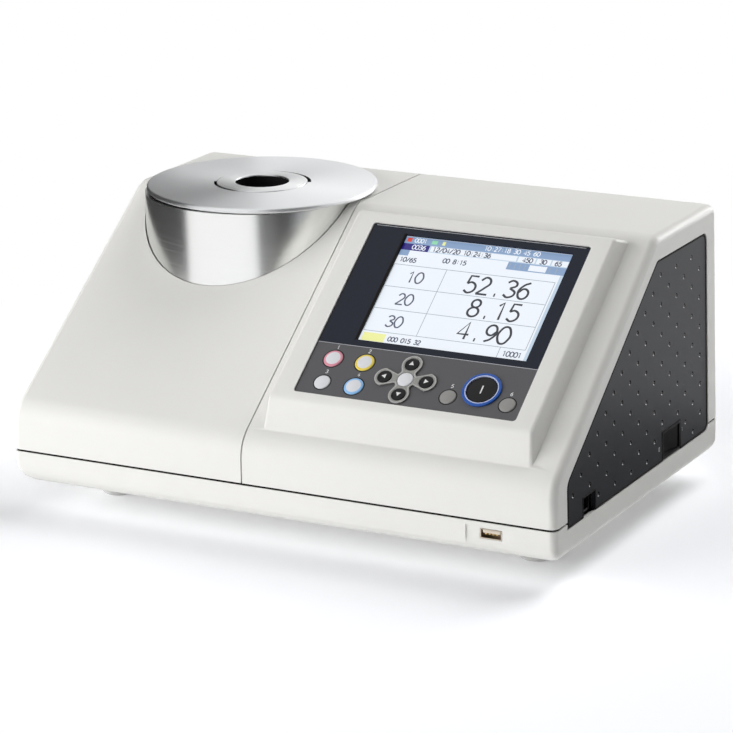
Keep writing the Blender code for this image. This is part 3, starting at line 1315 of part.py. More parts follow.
# Side panel with the switch and the cable socket
def side_notch(name, front, rear, top):
    low = (PANEL_LIP_X - OVERRUN, front, PANEL_LOW - PANEL_LIP - OVERRUN)
    return block(name, low, (HALF_WIDTH + OVERRUN, rear, top), CUTTERS)


def make_side_panel(palette):
    middle = (PANEL_BACK_X + PANEL_LIP_X) / 2
    panel = panel_solid("side_panel", 0, min(PANEL_BACK_X, middle) - OVERLAP / 2, PANEL_FACE_X)
    lip = panel_solid("side_panel_lip", PANEL_LIP, PANEL_LIP_X - PANEL_LIP_THICKNESS, PANEL_LIP_X)
    join(panel, lip)
    cut(panel, side_notch("cable_notch", CABLE_NOTCH_FRONT, CABLE_NOTCH_REAR, CABLE_NOTCH_TOP))
    cut(panel, side_notch("switch_notch", SWITCH_FRONT, SWITCH_REAR, SWITCH_TOP))
    return dress(panel, palette["dark_panel"])


def make_cable_socket(palette):
    centre_y = (CABLE_NOTCH_FRONT + CABLE_NOTCH_REAR) / 2
    top = CABLE_NOTCH_TOP - 2 * FIT
    front_x = HALF_WIDTH - CABLE_SOCKET_SETBACK
    half = CABLE_SOCKET_WIDTH / 2
    low = (front_x - CABLE_SOCKET_LENGTH, centre_y - half, top - CABLE_SOCKET_HEIGHT)
    socket = block("cable_socket", low, (front_x, centre_y + half, top))
    middle = top - CABLE_SOCKET_HEIGHT / 2
    half, rise = CABLE_HOLE_WIDTH / 2, CABLE_HOLE_HEIGHT / 2
    back = front_x - CABLE_HOLE_DEPTH
    low = (back, centre_y - half, middle - rise)
    high = (front_x + OVERRUN, centre_y + half, middle + rise)
    cut(socket, block("cable_socket_hole", low, high, CUTTERS))
    half, rise = CABLE_TONGUE_WIDTH / 2, CABLE_TONGUE_HEIGHT / 2
    low = (back - CABLE_TONGUE_RECESS, centre_y - half, middle - rise)
    high = (front_x - CABLE_TONGUE_RECESS, centre_y + half, middle + rise)
    join(socket, block("cable_socket_tongue", low, high, CUTTERS))
    return dress(socket, palette["black"])


def make_switch(palette):
    low_z, high_z = PANEL_LOW, SWITCH_TOP - FIT
    front, rear = SWITCH_FRONT + FIT, SWITCH_REAR - FIT
    face = PANEL_FACE_X
    back = face - SWITCH_DEPTH
    housing = block("switch_housing", (back, front, low_z), (face, rear, high_z))
    wall = SWITCH_WALL
    low = (back + SWITCH_BACK, front + wall, low_z + wall)
    cut(housing, block("switch_hollow", low, (face + OVERRUN, rear - wall, high_z - wall), CUTTERS))
    pivot_x, pivot_y = face - ROCKER_PIVOT_DEPTH, (front + rear) / 2
    hole_radius = ROCKER_PIN_RADIUS + FIT
    bottom, top = low_z - OVERRUN, high_z + OVERRUN
    hole = rod("switch_pin_hole", (pivot_x, pivot_y), hole_radius, bottom, top, SCREW_STEPS)
    cut(housing, hole)
    dress(housing, palette["black"])
    width = ROCKER_HALF_WIDTH
    outline = [
        (ROCKER_END_REACH, -width),
        (ROCKER_MID_REACH, 0),
        (ROCKER_END_REACH, width),
        (-ROCKER_END_BACK, width),
        (-ROCKER_MID_BACK, width / 2),
        (-ROCKER_MID_BACK, -width / 2),
        (-ROCKER_END_BACK, -width),
    ]
    middle = (low_z + high_z) / 2
    half = (high_z - low_z) / 2 - wall
    rocker = plate("power_rocker", outline, ROCKER_GAP - half, half - ROCKER_GAP)
    reach = half + ROCKER_PIN_REACH
    join(rocker, rocker_pin(reach, pivot_x, pivot_y, middle))
    rocker.matrix_world = rocker_frame(pivot_x, pivot_y, middle)
    return dress(rocker, palette["black"])


def rocker_frame(x, y, z):
    return Matrix.Translation((x, y, z)) @ Matrix.Rotation(-ROCKER_TILT, 4, "Z")


def rocker_pin(reach, x, y, z):
    pin = rod("rocker_pin", (0, 0), ROCKER_PIN_RADIUS, -reach, reach, SCREW_STEPS)
    pin.matrix_world = rocker_frame(x, y, z)
    return pin


def make_stick_socket(palette):
    front = -HALF_DEPTH + STICK_RECESS_DEPTH
    low = (STICK_SOCKET_LEFT, front, STICK_SOCKET_LOW)
    high = (STICK_SOCKET_RIGHT, front + STICK_SOCKET_LENGTH, STICK_SOCKET_HIGH)
    socket = block("stick_socket", low, high)
    wall = STICK_SOCKET_WALL
    low = (STICK_SOCKET_LEFT + wall, front - OVERRUN, STICK_SOCKET_LOW + wall)
    high = (STICK_SOCKET_RIGHT - wall, front + STICK_SOCKET_DEPTH, STICK_SOCKET_HIGH - wall)
    cut(socket, block("stick_socket_hollow", low, high, CUTTERS))
    side = STICK_TONGUE_SIDE + wall
    top = STICK_SOCKET_HIGH - 2 * wall
    low = (STICK_SOCKET_LEFT + side, front + 2 * wall, top - STICK_TONGUE_THICKNESS)
    high = (STICK_SOCKET_RIGHT - side, front + STICK_SOCKET_DEPTH + 2 * wall, top)
    join(socket, block("stick_socket_tongue", low, high, CUTTERS))
    return dress(socket, palette["steel"])


# Rear socket plate
def make_rear_sockets(palette):
    lip = REAR_PLATE_LIP
    face = REAR_INSIDE - FIT
    back = face - REAR_PLATE_THICKNESS
    height = (REAR_OPENING_LOW + REAR_OPENING_HIGH) / 2
    low = (REAR_OPENING_LEFT - lip, back, REAR_OPENING_LOW - lip)
    high = (REAR_OPENING_RIGHT + lip, face, REAR_OPENING_HIGH + lip)
    socket_plate = block("rear_socket_plate", low, high)
    outside = face + OVERRUN
    inlet_hole = cross_rod(
        "inlet_hole", "Y", (INLET_X, height), INLET_RADIUS + FIT, back - OVERRUN, outside, SMALL_STEPS
    )
    cut(socket_plate, inlet_hole)
    shell = serial_outline(FIT, height)
    cut(socket_plate, plate("serial_hole", shell, back - OVERRUN, outside, rear_frame(), CUTTERS))
    dress(socket_plate, palette["dark_panel"])

    body_face = back - FIT
    half = INLET_BODY / 2
    low = (INLET_X - half, body_face - INLET_BODY_LENGTH, height - half)
    inlet = block("power_inlet", low, (INLET_X + half, body_face, height + half))
    nose = face + FIT
    middle = body_face - INLET_BODY_LENGTH / 4
    centre = (INLET_X, height)
    join(inlet, cross_rod("inlet_nose", "Y", centre, INLET_RADIUS, middle, nose, SMALL_STEPS))
    floor = nose - INLET_BORE_DEPTH
    cut(inlet, cross_rod("inlet_bore", "Y", centre, INLET_BORE_RADIUS, floor, outside, SMALL_STEPS))
    tip = nose - INLET_PIN_RECESS
    pin_low = floor - INLET_PIN_RECESS / 2
    join(inlet, cross_rod("inlet_pin", "Y", centre, INLET_PIN_RADIUS, pin_low, tip, SCREW_STEPS))
    dress(inlet, palette["black"])

    half, rise = SERIAL_WIDTH / 2, SERIAL_HEIGHT / 2
    low = (SERIAL_X - half, body_face - SERIAL_BODY_LENGTH, height - rise)
    serial = block("serial_socket", low, (SERIAL_X + half, body_face, height + rise))
    low, high = body_face - SERIAL_BODY_LENGTH / 4, face + SERIAL_SHELL_PROUD
    join(serial, plate("serial_shell", serial_outline(0, height), low, high, rear_frame(), CUTTERS))
    dress(serial, palette["steel"])


def serial_outline(grow, height):
    half = SERIAL_SHELL_WIDTH / 2 + grow
    rise = SERIAL_SHELL_HEIGHT / 2 + grow
    taper = SERIAL_SHELL_TAPER
    corner = SERIAL_SHELL_CORNER + grow
    return rounded(
        [
            (-SERIAL_X - half + taper, height - rise, corner),
            (-SERIAL_X + half - taper, height - rise, corner),
            (-SERIAL_X + half, height + rise, corner),
            (-SERIAL_X - half, height + rise, corner),
        ],
        PANEL_ARC_STEPS,
    )


def main():
    for obj in list(bpy.data.objects):
        bpy.data.objects.remove(obj, do_unlink=True)
    bpy.context.scene.collection.children.link(COLORIMETER)
    bpy.context.scene.collection.children.link(CUTTERS)
    palette = make_palette()
    make_base_tray(palette)
    make_feet(palette)
    make_joint_band(palette)
    make_left_cover(palette)
    make_right_cover(palette)
    make_seam_strip(palette)
    make_side_panel(palette)
    make_stage_disc(palette)
    make_target_mask(palette)
    make_port_column(palette)
    make_sphere(palette)
    make_stage_frame(palette)
    make_receiving_optics(palette)
    make_sensor_unit(palette)
    make_lamp_unit(palette)
    make_chassis_plate(palette)
    make_main_board(palette)
    make_chassis_screws(palette)
    make_cover_screws(palette)
    make_display(palette)
    make_display_bracket(palette)
    make_key_panel(palette)
    make_keys(palette)
    make_cursor_pad(palette)
    make_measure_ring(palette)
    make_key_board_and_mat(palette)
    make_cable_socket(palette)
    make_switch(palette)
    make_stick_socket(palette)
    make_rear_sockets(palette)
    print("sub-parts:", len(COLORIMETER.objects))


main()
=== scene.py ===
# %% [markdown]
# # Dressing a portable colorimeter
# The instrument's CAD parts arrive as a fixed frame: every solid already stands in its
# real place, in metres. This lesson gives the parts their finishes, adds the fine pieces
# that a CAD solid leaves out, and sets up a small photo studio round them.

# %% Load the frame
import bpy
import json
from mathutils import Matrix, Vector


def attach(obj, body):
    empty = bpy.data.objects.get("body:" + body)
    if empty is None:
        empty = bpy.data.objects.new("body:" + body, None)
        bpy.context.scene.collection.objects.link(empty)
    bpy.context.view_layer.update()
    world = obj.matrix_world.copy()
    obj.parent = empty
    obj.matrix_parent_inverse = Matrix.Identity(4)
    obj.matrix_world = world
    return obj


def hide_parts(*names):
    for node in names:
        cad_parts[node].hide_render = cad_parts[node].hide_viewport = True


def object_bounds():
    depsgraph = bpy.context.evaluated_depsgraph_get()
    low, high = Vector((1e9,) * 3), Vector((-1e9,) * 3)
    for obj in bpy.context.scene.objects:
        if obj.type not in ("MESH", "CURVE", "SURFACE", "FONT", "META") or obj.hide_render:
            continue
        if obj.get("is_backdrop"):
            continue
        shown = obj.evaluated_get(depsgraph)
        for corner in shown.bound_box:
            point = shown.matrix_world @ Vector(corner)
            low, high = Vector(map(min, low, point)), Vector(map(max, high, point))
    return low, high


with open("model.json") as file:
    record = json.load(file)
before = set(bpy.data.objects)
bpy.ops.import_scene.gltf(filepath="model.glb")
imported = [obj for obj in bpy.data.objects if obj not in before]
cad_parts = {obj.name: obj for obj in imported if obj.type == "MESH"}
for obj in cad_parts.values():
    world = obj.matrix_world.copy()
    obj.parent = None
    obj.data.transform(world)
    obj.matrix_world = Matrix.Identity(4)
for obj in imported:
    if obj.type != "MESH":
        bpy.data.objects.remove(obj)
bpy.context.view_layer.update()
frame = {"nodes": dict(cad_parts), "record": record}

# %% [markdown]
# ## Tools and measures
# Blender works in metres, and a small instrument is easier to think about in
# millimetres, so one name turns one into the other. The display and the keys all lie in
# the plane of the slope. One matrix that carries flat drawings onto that plane saves
# working out every point by hand; parenting to a tilted empty would do it too, but a
# matrix leaves each piece free to ride on its own CAD body.

# %% Tools, units and the plane of the slope
import json
import math

import bmesh
import bpy
from mathutils import Matrix, Vector

MM = 0.001


def mm(*sizes):
    """Sizes in millimetres, turned into Blender's metres."""
    return [size * MM for size in sizes]


BODY_DEPTH, HALF_WIDTH = mm(261, 192.5)
SLOPE_FOOT, SLOPE_RISE, SLOPE_RUN = mm(68.65, 117.85, 161.36)

slope_angle = math.atan2(SLOPE_RISE, SLOPE_RUN)
slope_start = Matrix.Translation((0, -BODY_DEPTH / 2, SLOPE_FOOT))
slope = slope_start @ Matrix.Rotation(slope_angle, 4, "X")


def above_slope(height):
    return slope @ Matrix.Translation((0, 0, height))


studio = bpy.context.scene
print("slope of the front:", round(math.degrees(slope_angle), 2), "degrees")

# %% [markdown]
# ## The camera
# The camera stands to the right of the instrument, about two metres away, and looks
# down at it through a long lens. Its place was worked out from straight edges of known
# length in the picture. A camera could also be aimed with a Track To constraint, but
# three exact directions leave no roll to guess.

# %% Camera
CAMERA_PLACE = Vector((1.0032288, -1.9331968, 0.7225470))
CAMERA_RIGHT = Vector((0.88872967, 0.45829537, -0.01117679))
CAMERA_UP = Vector((-0.11900154, 0.25417621, 0.95980888))
LENS_LENGTH = 171.08
SENSOR_WIDTH = 36
NEAREST_SEEN = 0.05

camera_data = bpy.data.cameras.new("studio_camera")
camera = bpy.data.objects.new("studio_camera", camera_data)
studio.collection.objects.link(camera)
camera_turn = Matrix((CAMERA_RIGHT, CAMERA_UP, CAMERA_RIGHT.cross(CAMERA_UP))).transposed()
camera.matrix_world = Matrix.Translation(CAMERA_PLACE) @ camera_turn.to_4x4()
camera_data.lens = LENS_LENGTH
camera_data.sensor_width = SENSOR_WIDTH
camera_data.clip_start = NEAREST_SEEN
studio.camera = camera
print("camera stands", round(CAMERA_PLACE.length, 2), "m away")

# %% [markdown]
# ## Node helpers
# Every finish below is a small network of nodes. Writing the same five lines for each
# node would bury the idea of a finish, so one helper makes a node and fills its inputs,
# with plain values or with the output of another node.

# %% Helpers that make nodes
def add_node(tree, kind, inputs=(), **settings):
    node = tree.nodes.new(kind)
    for key, value in settings.items():
        setattr(node, key, value)
    for key, value in dict(inputs).items():
        if isinstance(value, bpy.types.NodeSocket):
            tree.links.new(value, node.inputs[key])
        else:
            node.inputs[key].default_value = value
    return node


def tint(tree, share, first, second):
    mix = {0: share, 6: (*first, 1), 7: (*second, 1)}
    return add_node(tree, "ShaderNodeMix", mix, data_type="RGBA").outputs[2]


def spread(tree, share, low, high):
    limits = {"Value": share, "To Min": low, "To Max": high}
    return add_node(tree, "ShaderNodeMapRange", limits).outputs["Result"]


def cloud(tree, place, grain, detail=2.0):
    noise = {"Vector": place, "Scale": 1 / grain, "Detail": detail}
    return add_node(tree, "ShaderNodeTexNoise", noise).outputs["Fac"]


def relief(tree, height, depth):
    return add_node(tree, "ShaderNodeBump", {"Height": height, "Distance": depth}).outputs["Normal"]


def object_place(tree):
    return add_node(tree, "ShaderNodeTexCoord").outputs["Object"]


print("node helpers ready")

# %% Start of a finish
def new_finish(name, colour, roughness, metallic=0.0):
    material = bpy.data.materials.new(name)
    material.use_nodes = True
    shader = material.node_tree.nodes["Principled BSDF"]
    shader.inputs["Base Color"].default_value = (*colour, 1)
    shader.inputs["Roughness"].default_value = roughness
    shader.inputs["Metallic"].default_value = metallic
    return material, material.node_tree, shader


def connect(tree, shader, **sockets):
    for name, socket in sockets.items():
        tree.links.new(socket, shader.inputs[name.replace("_", " ")])


print("finishes start from the Principled shader")

# %% [markdown]
# ## The studio
# A pale sweep with large soft lamps round and above it: the plain set-up of a product
# picture. The sweep is a plane whose colour the camera sees as white away from the
# instrument, so the page stays white without more light on the object. Near the
# instrument it is an ordinary matt surface, so it keeps the shadow.

# %% Floor
FLOOR_SIZE = 12.0
FLOOR_NEAR, FLOOR_FAR = 0.34, 0.62
FLOOR_MIDDLE = (0.06, 0.0, 0.0)
FLOOR_COLOUR = (0.86, 0.865, 0.875)
PAGE_COLOUR = (1.28, 1.29, 1.33)
FLOOR_GLOW = 0.23
MATT = 0.9
WHITE = (1.0, 1.0, 1.0)


def seen_rays(tree):
    """1 for the rays that draw the picture, 0 for those that only carry light."""
    paths = add_node(tree, "ShaderNodeLightPath").outputs
    seen = paths["Is Camera Ray"]
    for kind in ("Is Glossy Ray", "Is Transmission Ray"):
        both = {0: seen, 1: paths[kind]}
        seen = add_node(tree, "ShaderNodeMath", both, operation="MAXIMUM").outputs[0]
    return seen


def matt(tree, colour):
    return add_node(tree, "ShaderNodeBsdfDiffuse", {"Color": (*colour, 1)}).outputs[0]


def glow(tree, strength):
    white = {"Color": (*WHITE, 1), "Strength": strength}
    return add_node(tree, "ShaderNodeEmission", white).outputs[0]


def floor_finish():
    material, tree, shader = new_finish("white_sweep", FLOOR_COLOUR, MATT)
    tree.nodes.remove(shader)
    ends = {0: object_place(tree), 1: FLOOR_MIDDLE}
    apart = add_node(tree, "ShaderNodeVectorMath", ends, operation="DISTANCE").outputs["Value"]
    limits = {"Value": apart, "From Min": FLOOR_NEAR, "From Max": FLOOR_FAR}
    ramp = add_node(tree, "ShaderNodeMapRange", limits, interpolation_type="SMOOTHSTEP").outputs["Result"]
    dull = {0: matt(tree, FLOOR_COLOUR), 1: glow(tree, FLOOR_GLOW)}
    page = {0: ramp, 1: matt(tree, PAGE_COLOUR), 2: glow(tree, 1.0)}
    both = {
        0: seen_rays(tree),
        1: add_node(tree, "ShaderNodeAddShader", dull).outputs[0],
        2: add_node(tree, "ShaderNodeMixShader", page).outputs[0],
    }
    surface = add_node(tree, "ShaderNodeMixShader", both).outputs[0]
    tree.links.new(surface, tree.nodes["Material Output"].inputs["Surface"])
    return material


def plain_mesh(name, points, faces):
    mesh = bpy.data.meshes.new(name)
    mesh.from_pydata(points, [], faces)
    return mesh


def sheet(name, width, depth):
    x, y = width / 2, depth / 2
    return plain_mesh(name, [(-x, -y, 0), (x, -y, 0), (x, y, 0), (-x, y, 0)], [(0, 1, 2, 3)])


def add_stage(name, mesh, finish):
    """Add a piece that belongs to the studio and not to the instrument."""
    mesh.materials.append(finish)
    piece = bpy.data.objects.new(name, mesh)
    studio.collection.objects.link(piece)
    piece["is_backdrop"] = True
    return piece


add_stage("sweep", sheet("sweep", FLOOR_SIZE, FLOOR_SIZE), floor_finish())
print("floor:", FLOOR_SIZE, "m square")

# %% [markdown]
# ## Lamps and cards
# Soft light comes from large lamps: the larger the lamp, the softer the shadow. Two
# stand in front at the left, one above them, one behind and one overhead. Polished metal
# shows the room, not a colour of its own, so a photographer stands dark and grey cards
# beside it to draw bands on it. The cards here are seen by reflections alone.

# %% World and lamps
AMBIENT = 0.02
LAMP_DISTANCE = 2.3
LAMPS = {        # compass turn and rise in degrees, size in metres, power in watts
    "left_softbox": (-150, 12, (1.3, 1.3), 29),
    "front_softbox": (-120, 12, (1.3, 1.3), 20.5),
    "front_upper_softbox": (-103, 35, (1.6, 1.3), 10),
    "back_softbox": (70, 35, (1.3, 1.3), 16),
    "top_softbox": (60, 60, (1.6, 1.3), 24),
}
AIM = Vector((0, 0, 0.08))


def direction(compass, rise):
    turn, level = math.radians(compass), math.radians(rise)
    return Vector((math.cos(turn) * math.cos(level), math.sin(turn) * math.cos(level), math.sin(level)))


world = bpy.data.worlds.new("studio_world")
studio.world = world
world.use_nodes = True
sky = world.node_tree
background = sky.nodes["Background"]
background.inputs["Color"].default_value = (*WHITE, 1)
sky.links.new(spread(sky, seen_rays(sky), AMBIENT, 1.0), background.inputs["Strength"])

for lamp_name, (compass, rise, size, power) in LAMPS.items():
    lamp_data = bpy.data.lights.new(lamp_name, "AREA")
    lamp_data.shape = "RECTANGLE"
    lamp_data.size, lamp_data.size_y = size
    lamp_data.energy = power
    lamp = bpy.data.objects.new(lamp_name, lamp_data)
    studio.collection.objects.link(lamp)
    away = direction(compass, rise)
    lamp.location = AIM + LAMP_DISTANCE * away
    lamp.rotation_mode = "QUATERNION"
    lamp.rotation_quaternion = (-away).to_track_quat("-Z", "Y")
    lamp.visible_glossy = False
studio.view_settings.view_transform = "Standard"
print("lamps:", ", ".join(LAMPS))

# %% Dark and grey cards for the metal, and a card that paints a floor shadow
CARDS = {        # first and last angle, distance, foot, top, grey
    "card_right": (-60, -2, 0.492, 0, 0.722, 0.01),
    "card_left": (-222, -125, 0.21, 0.098, 0.495, 0.03),
    "card_back": (121, 164, 0.165, 0.212, 0.628, 0.35),
    "card_above": (-108, 210, 0.497, 1.046, 1.076, 0.17),
}
CARD_STEPS = 8
CARD_PATCH = 0.1
# The card on the floor paints the shadow beside the instrument into the side panel's reflection.
FLOOR_SHADOW_SIZE, FLOOR_SHADOW_PLACE, FLOOR_SHADOW_GREY = (0.135, 0.5), (0.2725, 0, 0.001), 0.02
STAGE_CENTRE = Vector(mm(-99.3, 40.4, 0))


def arc(x, y, radius, start, stop, steps):
    """Points of a circle from one angle to another in degrees, both ends included."""
    angles = [math.radians(start + (stop - start) * k / steps) for k in range(steps + 1)]
    return [(x + radius * math.cos(a), y + radius * math.sin(a)) for a in angles]


def darker(colour, share):
    return tuple(c * share for c in colour)


def glowing(name, colour, roughness, light, strength, patch, dim=0.96):
    """A finish that gives light of its own, a little uneven in patches."""
    material, tree, shader = new_finish(name, colour, roughness)
    shader.inputs["Emission Strength"].default_value = strength
    tone = cloud(tree, object_place(tree), patch)
    connect(tree, shader, Emission_Color=tint(tree, tone, darker(light, dim), light))
    return material


def card_finish(name, grey):
    return glowing(name, (0.01,) * 3, MATT, WHITE, grey, CARD_PATCH)


def add_card(name, mesh, finish):
    """Add a card that only reflections see."""
    card = add_stage(name, mesh, finish)
    card.visible_camera = card.visible_diffuse = False
    card.visible_shadow = card.visible_transmission = False


for card_name, (start, stop, distance, foot, top, grey) in CARDS.items():
    spots = arc(STAGE_CENTRE.x, STAGE_CENTRE.y, distance, start, stop, CARD_STEPS)
    points = [(x, y, z) for x, y in spots for z in (foot, top)]
    faces = [(k, k + 2, k + 3, k + 1) for k in range(0, 2 * CARD_STEPS, 2)]
    add_card(card_name, plain_mesh(card_name, points, faces), card_finish(card_name, grey))
# A dark card on the floor at the right, seen only in reflections: a painted shadow in the lower side
# panel's reflection.
floor_shadow_sheet = sheet("painted_floor_shadow", *FLOOR_SHADOW_SIZE)
floor_shadow_sheet.transform(Matrix.Translation(FLOOR_SHADOW_PLACE))
add_card("painted_floor_shadow", floor_shadow_sheet, card_finish("painted_floor_shadow", FLOOR_SHADOW_GREY))
print("cards:", ", ".join(CARDS), "and one on the floor")

# %% Bright card that puts glints on small hollows and edges
GLINT_COMPASS, GLINT_RISE, GLINT_SIZE, GLINT_STRENGTH = 62, 15, (0.46, 0.28), 6.5

away = direction(GLINT_COMPASS, GLINT_RISE)
glint_card = sheet("glint_card", *GLINT_SIZE)
glint_card.transform((-away).to_track_quat("-Z", "Y").to_matrix().to_4x4())
glint_card.transform(Matrix.Translation(AIM + away))
glint_finish = glowing("glint_card", (0.9,) * 3, MATT, WHITE, GLINT_STRENGTH, CARD_PATCH, 0.97)
add_card("glint_card", glint_card, glint_finish)
print("glint card:", GLINT_SIZE, "m")

# %% [markdown]
# ## Soft edges on CAD parts
# A CAD export splits its faces, so each flat facet of a rounded edge shows. The mesh
# itself stays as it is: a small geometry-node group welds the copies of each point and
# marks only true corners as sharp, and a Weighted Normal modifier then keeps large faces
# flat and lets the fillets between them shade round.

# %% Node group that smooths the shading of a CAD part
WELD_DISTANCE = 0.002 * MM
SHARP_ANGLE = math.radians(38)
LARGE_FACE_WEIGHT = 60


def make_smoother():
    group = bpy.data.node_groups.new("weld_and_smooth", "GeometryNodeTree")
    for way in ("INPUT", "OUTPUT"):
        group.interface.new_socket("Geometry", in_out=way, socket_type="NodeSocketGeometry")
    way_in = group.nodes.new("NodeGroupInput").outputs[0]
    weld = {"Geometry": way_in, "Distance": WELD_DISTANCE}
    mesh = add_node(group, "GeometryNodeMergeByDistance", weld).outputs[0]
    bend = add_node(group, "GeometryNodeInputMeshEdgeAngle").outputs["Unsigned Angle"]
    corner = add_node(group, "FunctionNodeCompare", {0: bend, 1: SHARP_ANGLE}, operation="GREATER_THAN")
    for smooth, domain, where in ((True, "FACE", True), (False, "EDGE", corner.outputs[0])):
        shading = {"Geometry": mesh, "Selection": where, "Shade Smooth": smooth}
        mesh = add_node(group, "GeometryNodeSetShadeSmooth", shading, domain=domain).outputs[0]
    group.links.new(mesh, group.nodes.new("NodeGroupOutput").inputs[0])
    return group


smoother = make_smoother()


def soften(piece):
    piece.modifiers.new("weld_and_smooth", "NODES").node_group = smoother
    weighted = piece.modifiers.new("even_normals", "WEIGHTED_NORMAL")
    weighted.keep_sharp = True
    weighted.weight = LARGE_FACE_WEIGHT
    return piece


print("shading group:", smoother.name)

# %% [markdown]
# ## Moulded plastic
# Moulded casings carry a fine spark-eroded grain from the steel tool, a soft sheen and
# very slight changes of tone. A noise at two sizes does this: a fine one for grain and
# gloss, a broad one for tone. An image texture would need unwrapping; noise in the
# object's own space needs none and never shows a seam.

# %% Moulded plastic finish
TONE_PATCH = 45 * MM


def uneven(tree, share, roughness, swing):
    return spread(tree, share, roughness - swing, roughness + swing)


def moulded(name, colour, roughness, grain=0.5, depth=0.006, shine=0.5):
    """A plastic finish; the grain's width and depth are in millimetres."""
    material, tree, shader = new_finish(name, colour, roughness)
    shader.inputs["Specular IOR Level"].default_value = shine
    place = object_place(tree)
    fine, broad = cloud(tree, place, grain * MM), cloud(tree, place, TONE_PATCH)
    connect(
        tree, shader,
        Base_Color=tint(tree, broad, darker(colour, 0.965), colour),
        Roughness=uneven(tree, fine, roughness, 0.06),
        Normal=relief(tree, fine, depth * MM),
    )
    return material


finishes = {
    "casing": moulded("off_white_casing", (0.80, 0.795, 0.765), 0.42, 0.35, 0.012),
    "dark_panel": moulded("dark_grey_panel", (0.028, 0.030, 0.035), 0.40, 0.5, 0.010, 0.18),
    # The black plastic also paints shade: lines in the gaps round the window and keys, and the screws'
    # cross recesses.
    "black": moulded("black_plastic", (0.009, 0.009, 0.010), 0.32, 0.4, 0.006, 0.22),
    "foot": moulded("pale_rubber_foot", (0.60, 0.60, 0.59), 0.75, 0.8, 0.030),
    # This dark finish also paints shade: in the joint, in the gap round the side panel and at the left
    # edge of the screen.
    "rubber": moulded("dark_seal_and_painted_shade", (0.010, 0.009, 0.008), 0.80, 0.8, 0.020, 0.2),
    "mat": moulded("grey_key_pad", (0.29, 0.287, 0.275), 0.50, 0.5, 0.012),
    "pale_key": moulded("white_key", (0.74, 0.75, 0.78), 0.35),
    "grey_key": moulded("grey_key", (0.275, 0.27, 0.26), 0.40, 0.5, 0.008),
    "pink_key": moulded("pink_ring", (0.72, 0.28, 0.36), 0.35),
    "yellow_key": moulded("yellow_ring", (0.83, 0.65, 0.10), 0.35),
    "blue_key": moulded("light_blue_ring", (0.27, 0.52, 0.86), 0.35),
    "blue_ring": moulded("bright_blue_ring", (0.010, 0.080, 0.37), 0.30),
}
print("moulded finishes:", len(finishes))

# %% [markdown]
# ## Printed film and dark glass
# The keys sit in a matt printed film, and the display in a dark glossy frame. The film
# has a fine orange-peel texture; the frame is nearly smooth, with faint cloudiness that
# breaks its reflections. Circuit boards and cast metal take the same speckle, coarser.

# %% Film and frame finishes
CLOUDINESS = 12 * MM


def speckled(name, colour, fleck, roughness, grain, depth, shine=0.5):
    material, tree, shader = new_finish(name, colour, roughness)
    shader.inputs["Specular IOR Level"].default_value = shine
    place = object_place(tree)
    cells = {"Vector": place, "Scale": 1 / (grain * MM)}
    grains = add_node(tree, "ShaderNodeTexVoronoi", cells).outputs["Distance"]
    connect(
        tree, shader,
        Base_Color=tint(tree, spread(tree, grains, 0.0, 0.5), colour, fleck),
        Roughness=uneven(tree, cloud(tree, place, CLOUDINESS), roughness, 0.05),
        Normal=relief(tree, grains, depth * MM),
    )
    return material


for slot, finish in {
    "key_panel": ("grey_key_film", (0.085, 0.085, 0.090), (0.100, 0.100, 0.105), 0.42, 0.6, 0.004, 0.4),
    "bezel": ("dark_navy_frame", (0.005, 0.008, 0.019), (0.007, 0.010, 0.022), 0.18, 2.0, 0.001, 0.24),
    "board": ("green_circuit_board", (0.015, 0.13, 0.055), (0.03, 0.22, 0.09), 0.45, 3.0, 0.02),
    "sphere": ("black_cast_aluminium", (0.020, 0.020, 0.021), (0.035, 0.035, 0.036), 0.50, 0.9, 0.06),
}.items():
    finishes[slot] = speckled(*finish)
print("film, frame, board and casting finishes added")

# %% [markdown]
# ## Turned aluminium
# A lathe leaves fine circles on a disc and fine rings round a tube. They stretch every
# reflection across themselves, which gives the disc its two pale fans and the column its
# upright bands. The lines come from a noise that depends only on the distance from the
# axis, or only on the height. The shader stretches reflections along its tangent, which
# runs round the axis here, so a quarter turn makes it stretch across the lines.

# %% Turned metal finish
TURN_PITCH = 0.28 * MM
TURN_DEPTH = 0.00012 * MM
QUARTER_TURN = 0.25


def turned_metal(name, colour, roughness, stretch, on_tube=False):
    material, tree, shader = new_finish(name, colour, roughness, 1.0)
    parts = add_node(tree, "ShaderNodeSeparateXYZ", {0: object_place(tree)}).outputs
    across = parts["Z"]
    if not on_tube:
        flat = add_node(tree, "ShaderNodeCombineXYZ", {"X": parts["X"], "Y": parts["Y"]})
        ends = {0: flat.outputs[0], 1: (STAGE_CENTRE.x, STAGE_CENTRE.y, 0)}
        across = add_node(tree, "ShaderNodeVectorMath", ends, operation="DISTANCE").outputs["Value"]
    noise = {"W": across, "Scale": 1 / TURN_PITCH, "Detail": 3.0}
    lines = add_node(tree, "ShaderNodeTexNoise", noise, noise_dimensions="1D").outputs["Fac"]
    shader.inputs["Anisotropic"].default_value = stretch
    shader.inputs["Anisotropic Rotation"].default_value = QUARTER_TURN
    connect(
        tree, shader,
        Base_Color=tint(tree, lines, darker(colour, 0.94), colour),
        Roughness=uneven(tree, lines, roughness, 0.05),
        Normal=relief(tree, lines, TURN_DEPTH),
        Tangent=add_node(tree, "ShaderNodeTangent", direction_type="RADIAL", axis="Z").outputs[0],
    )
    return material


finishes["aluminium"] = turned_metal("brushed_column", (0.92, 0.925, 0.915), 0.25, 0.43, True)
disc_metal = turned_metal("turned_disc", (0.88, 0.89, 0.90), 0.45, 0.67)
mask_metal = turned_metal("turned_mask", (0.88, 0.89, 0.895), 0.45, 0.67)
print("turned metal, line pitch", TURN_PITCH / MM, "mm")

# %% [markdown]
# ## Plated steel, gold and black anodising
# Small fittings need little more than a metal with uneven gloss: fingerprints and the
# grain of rolled sheet both show as patches of roughness.

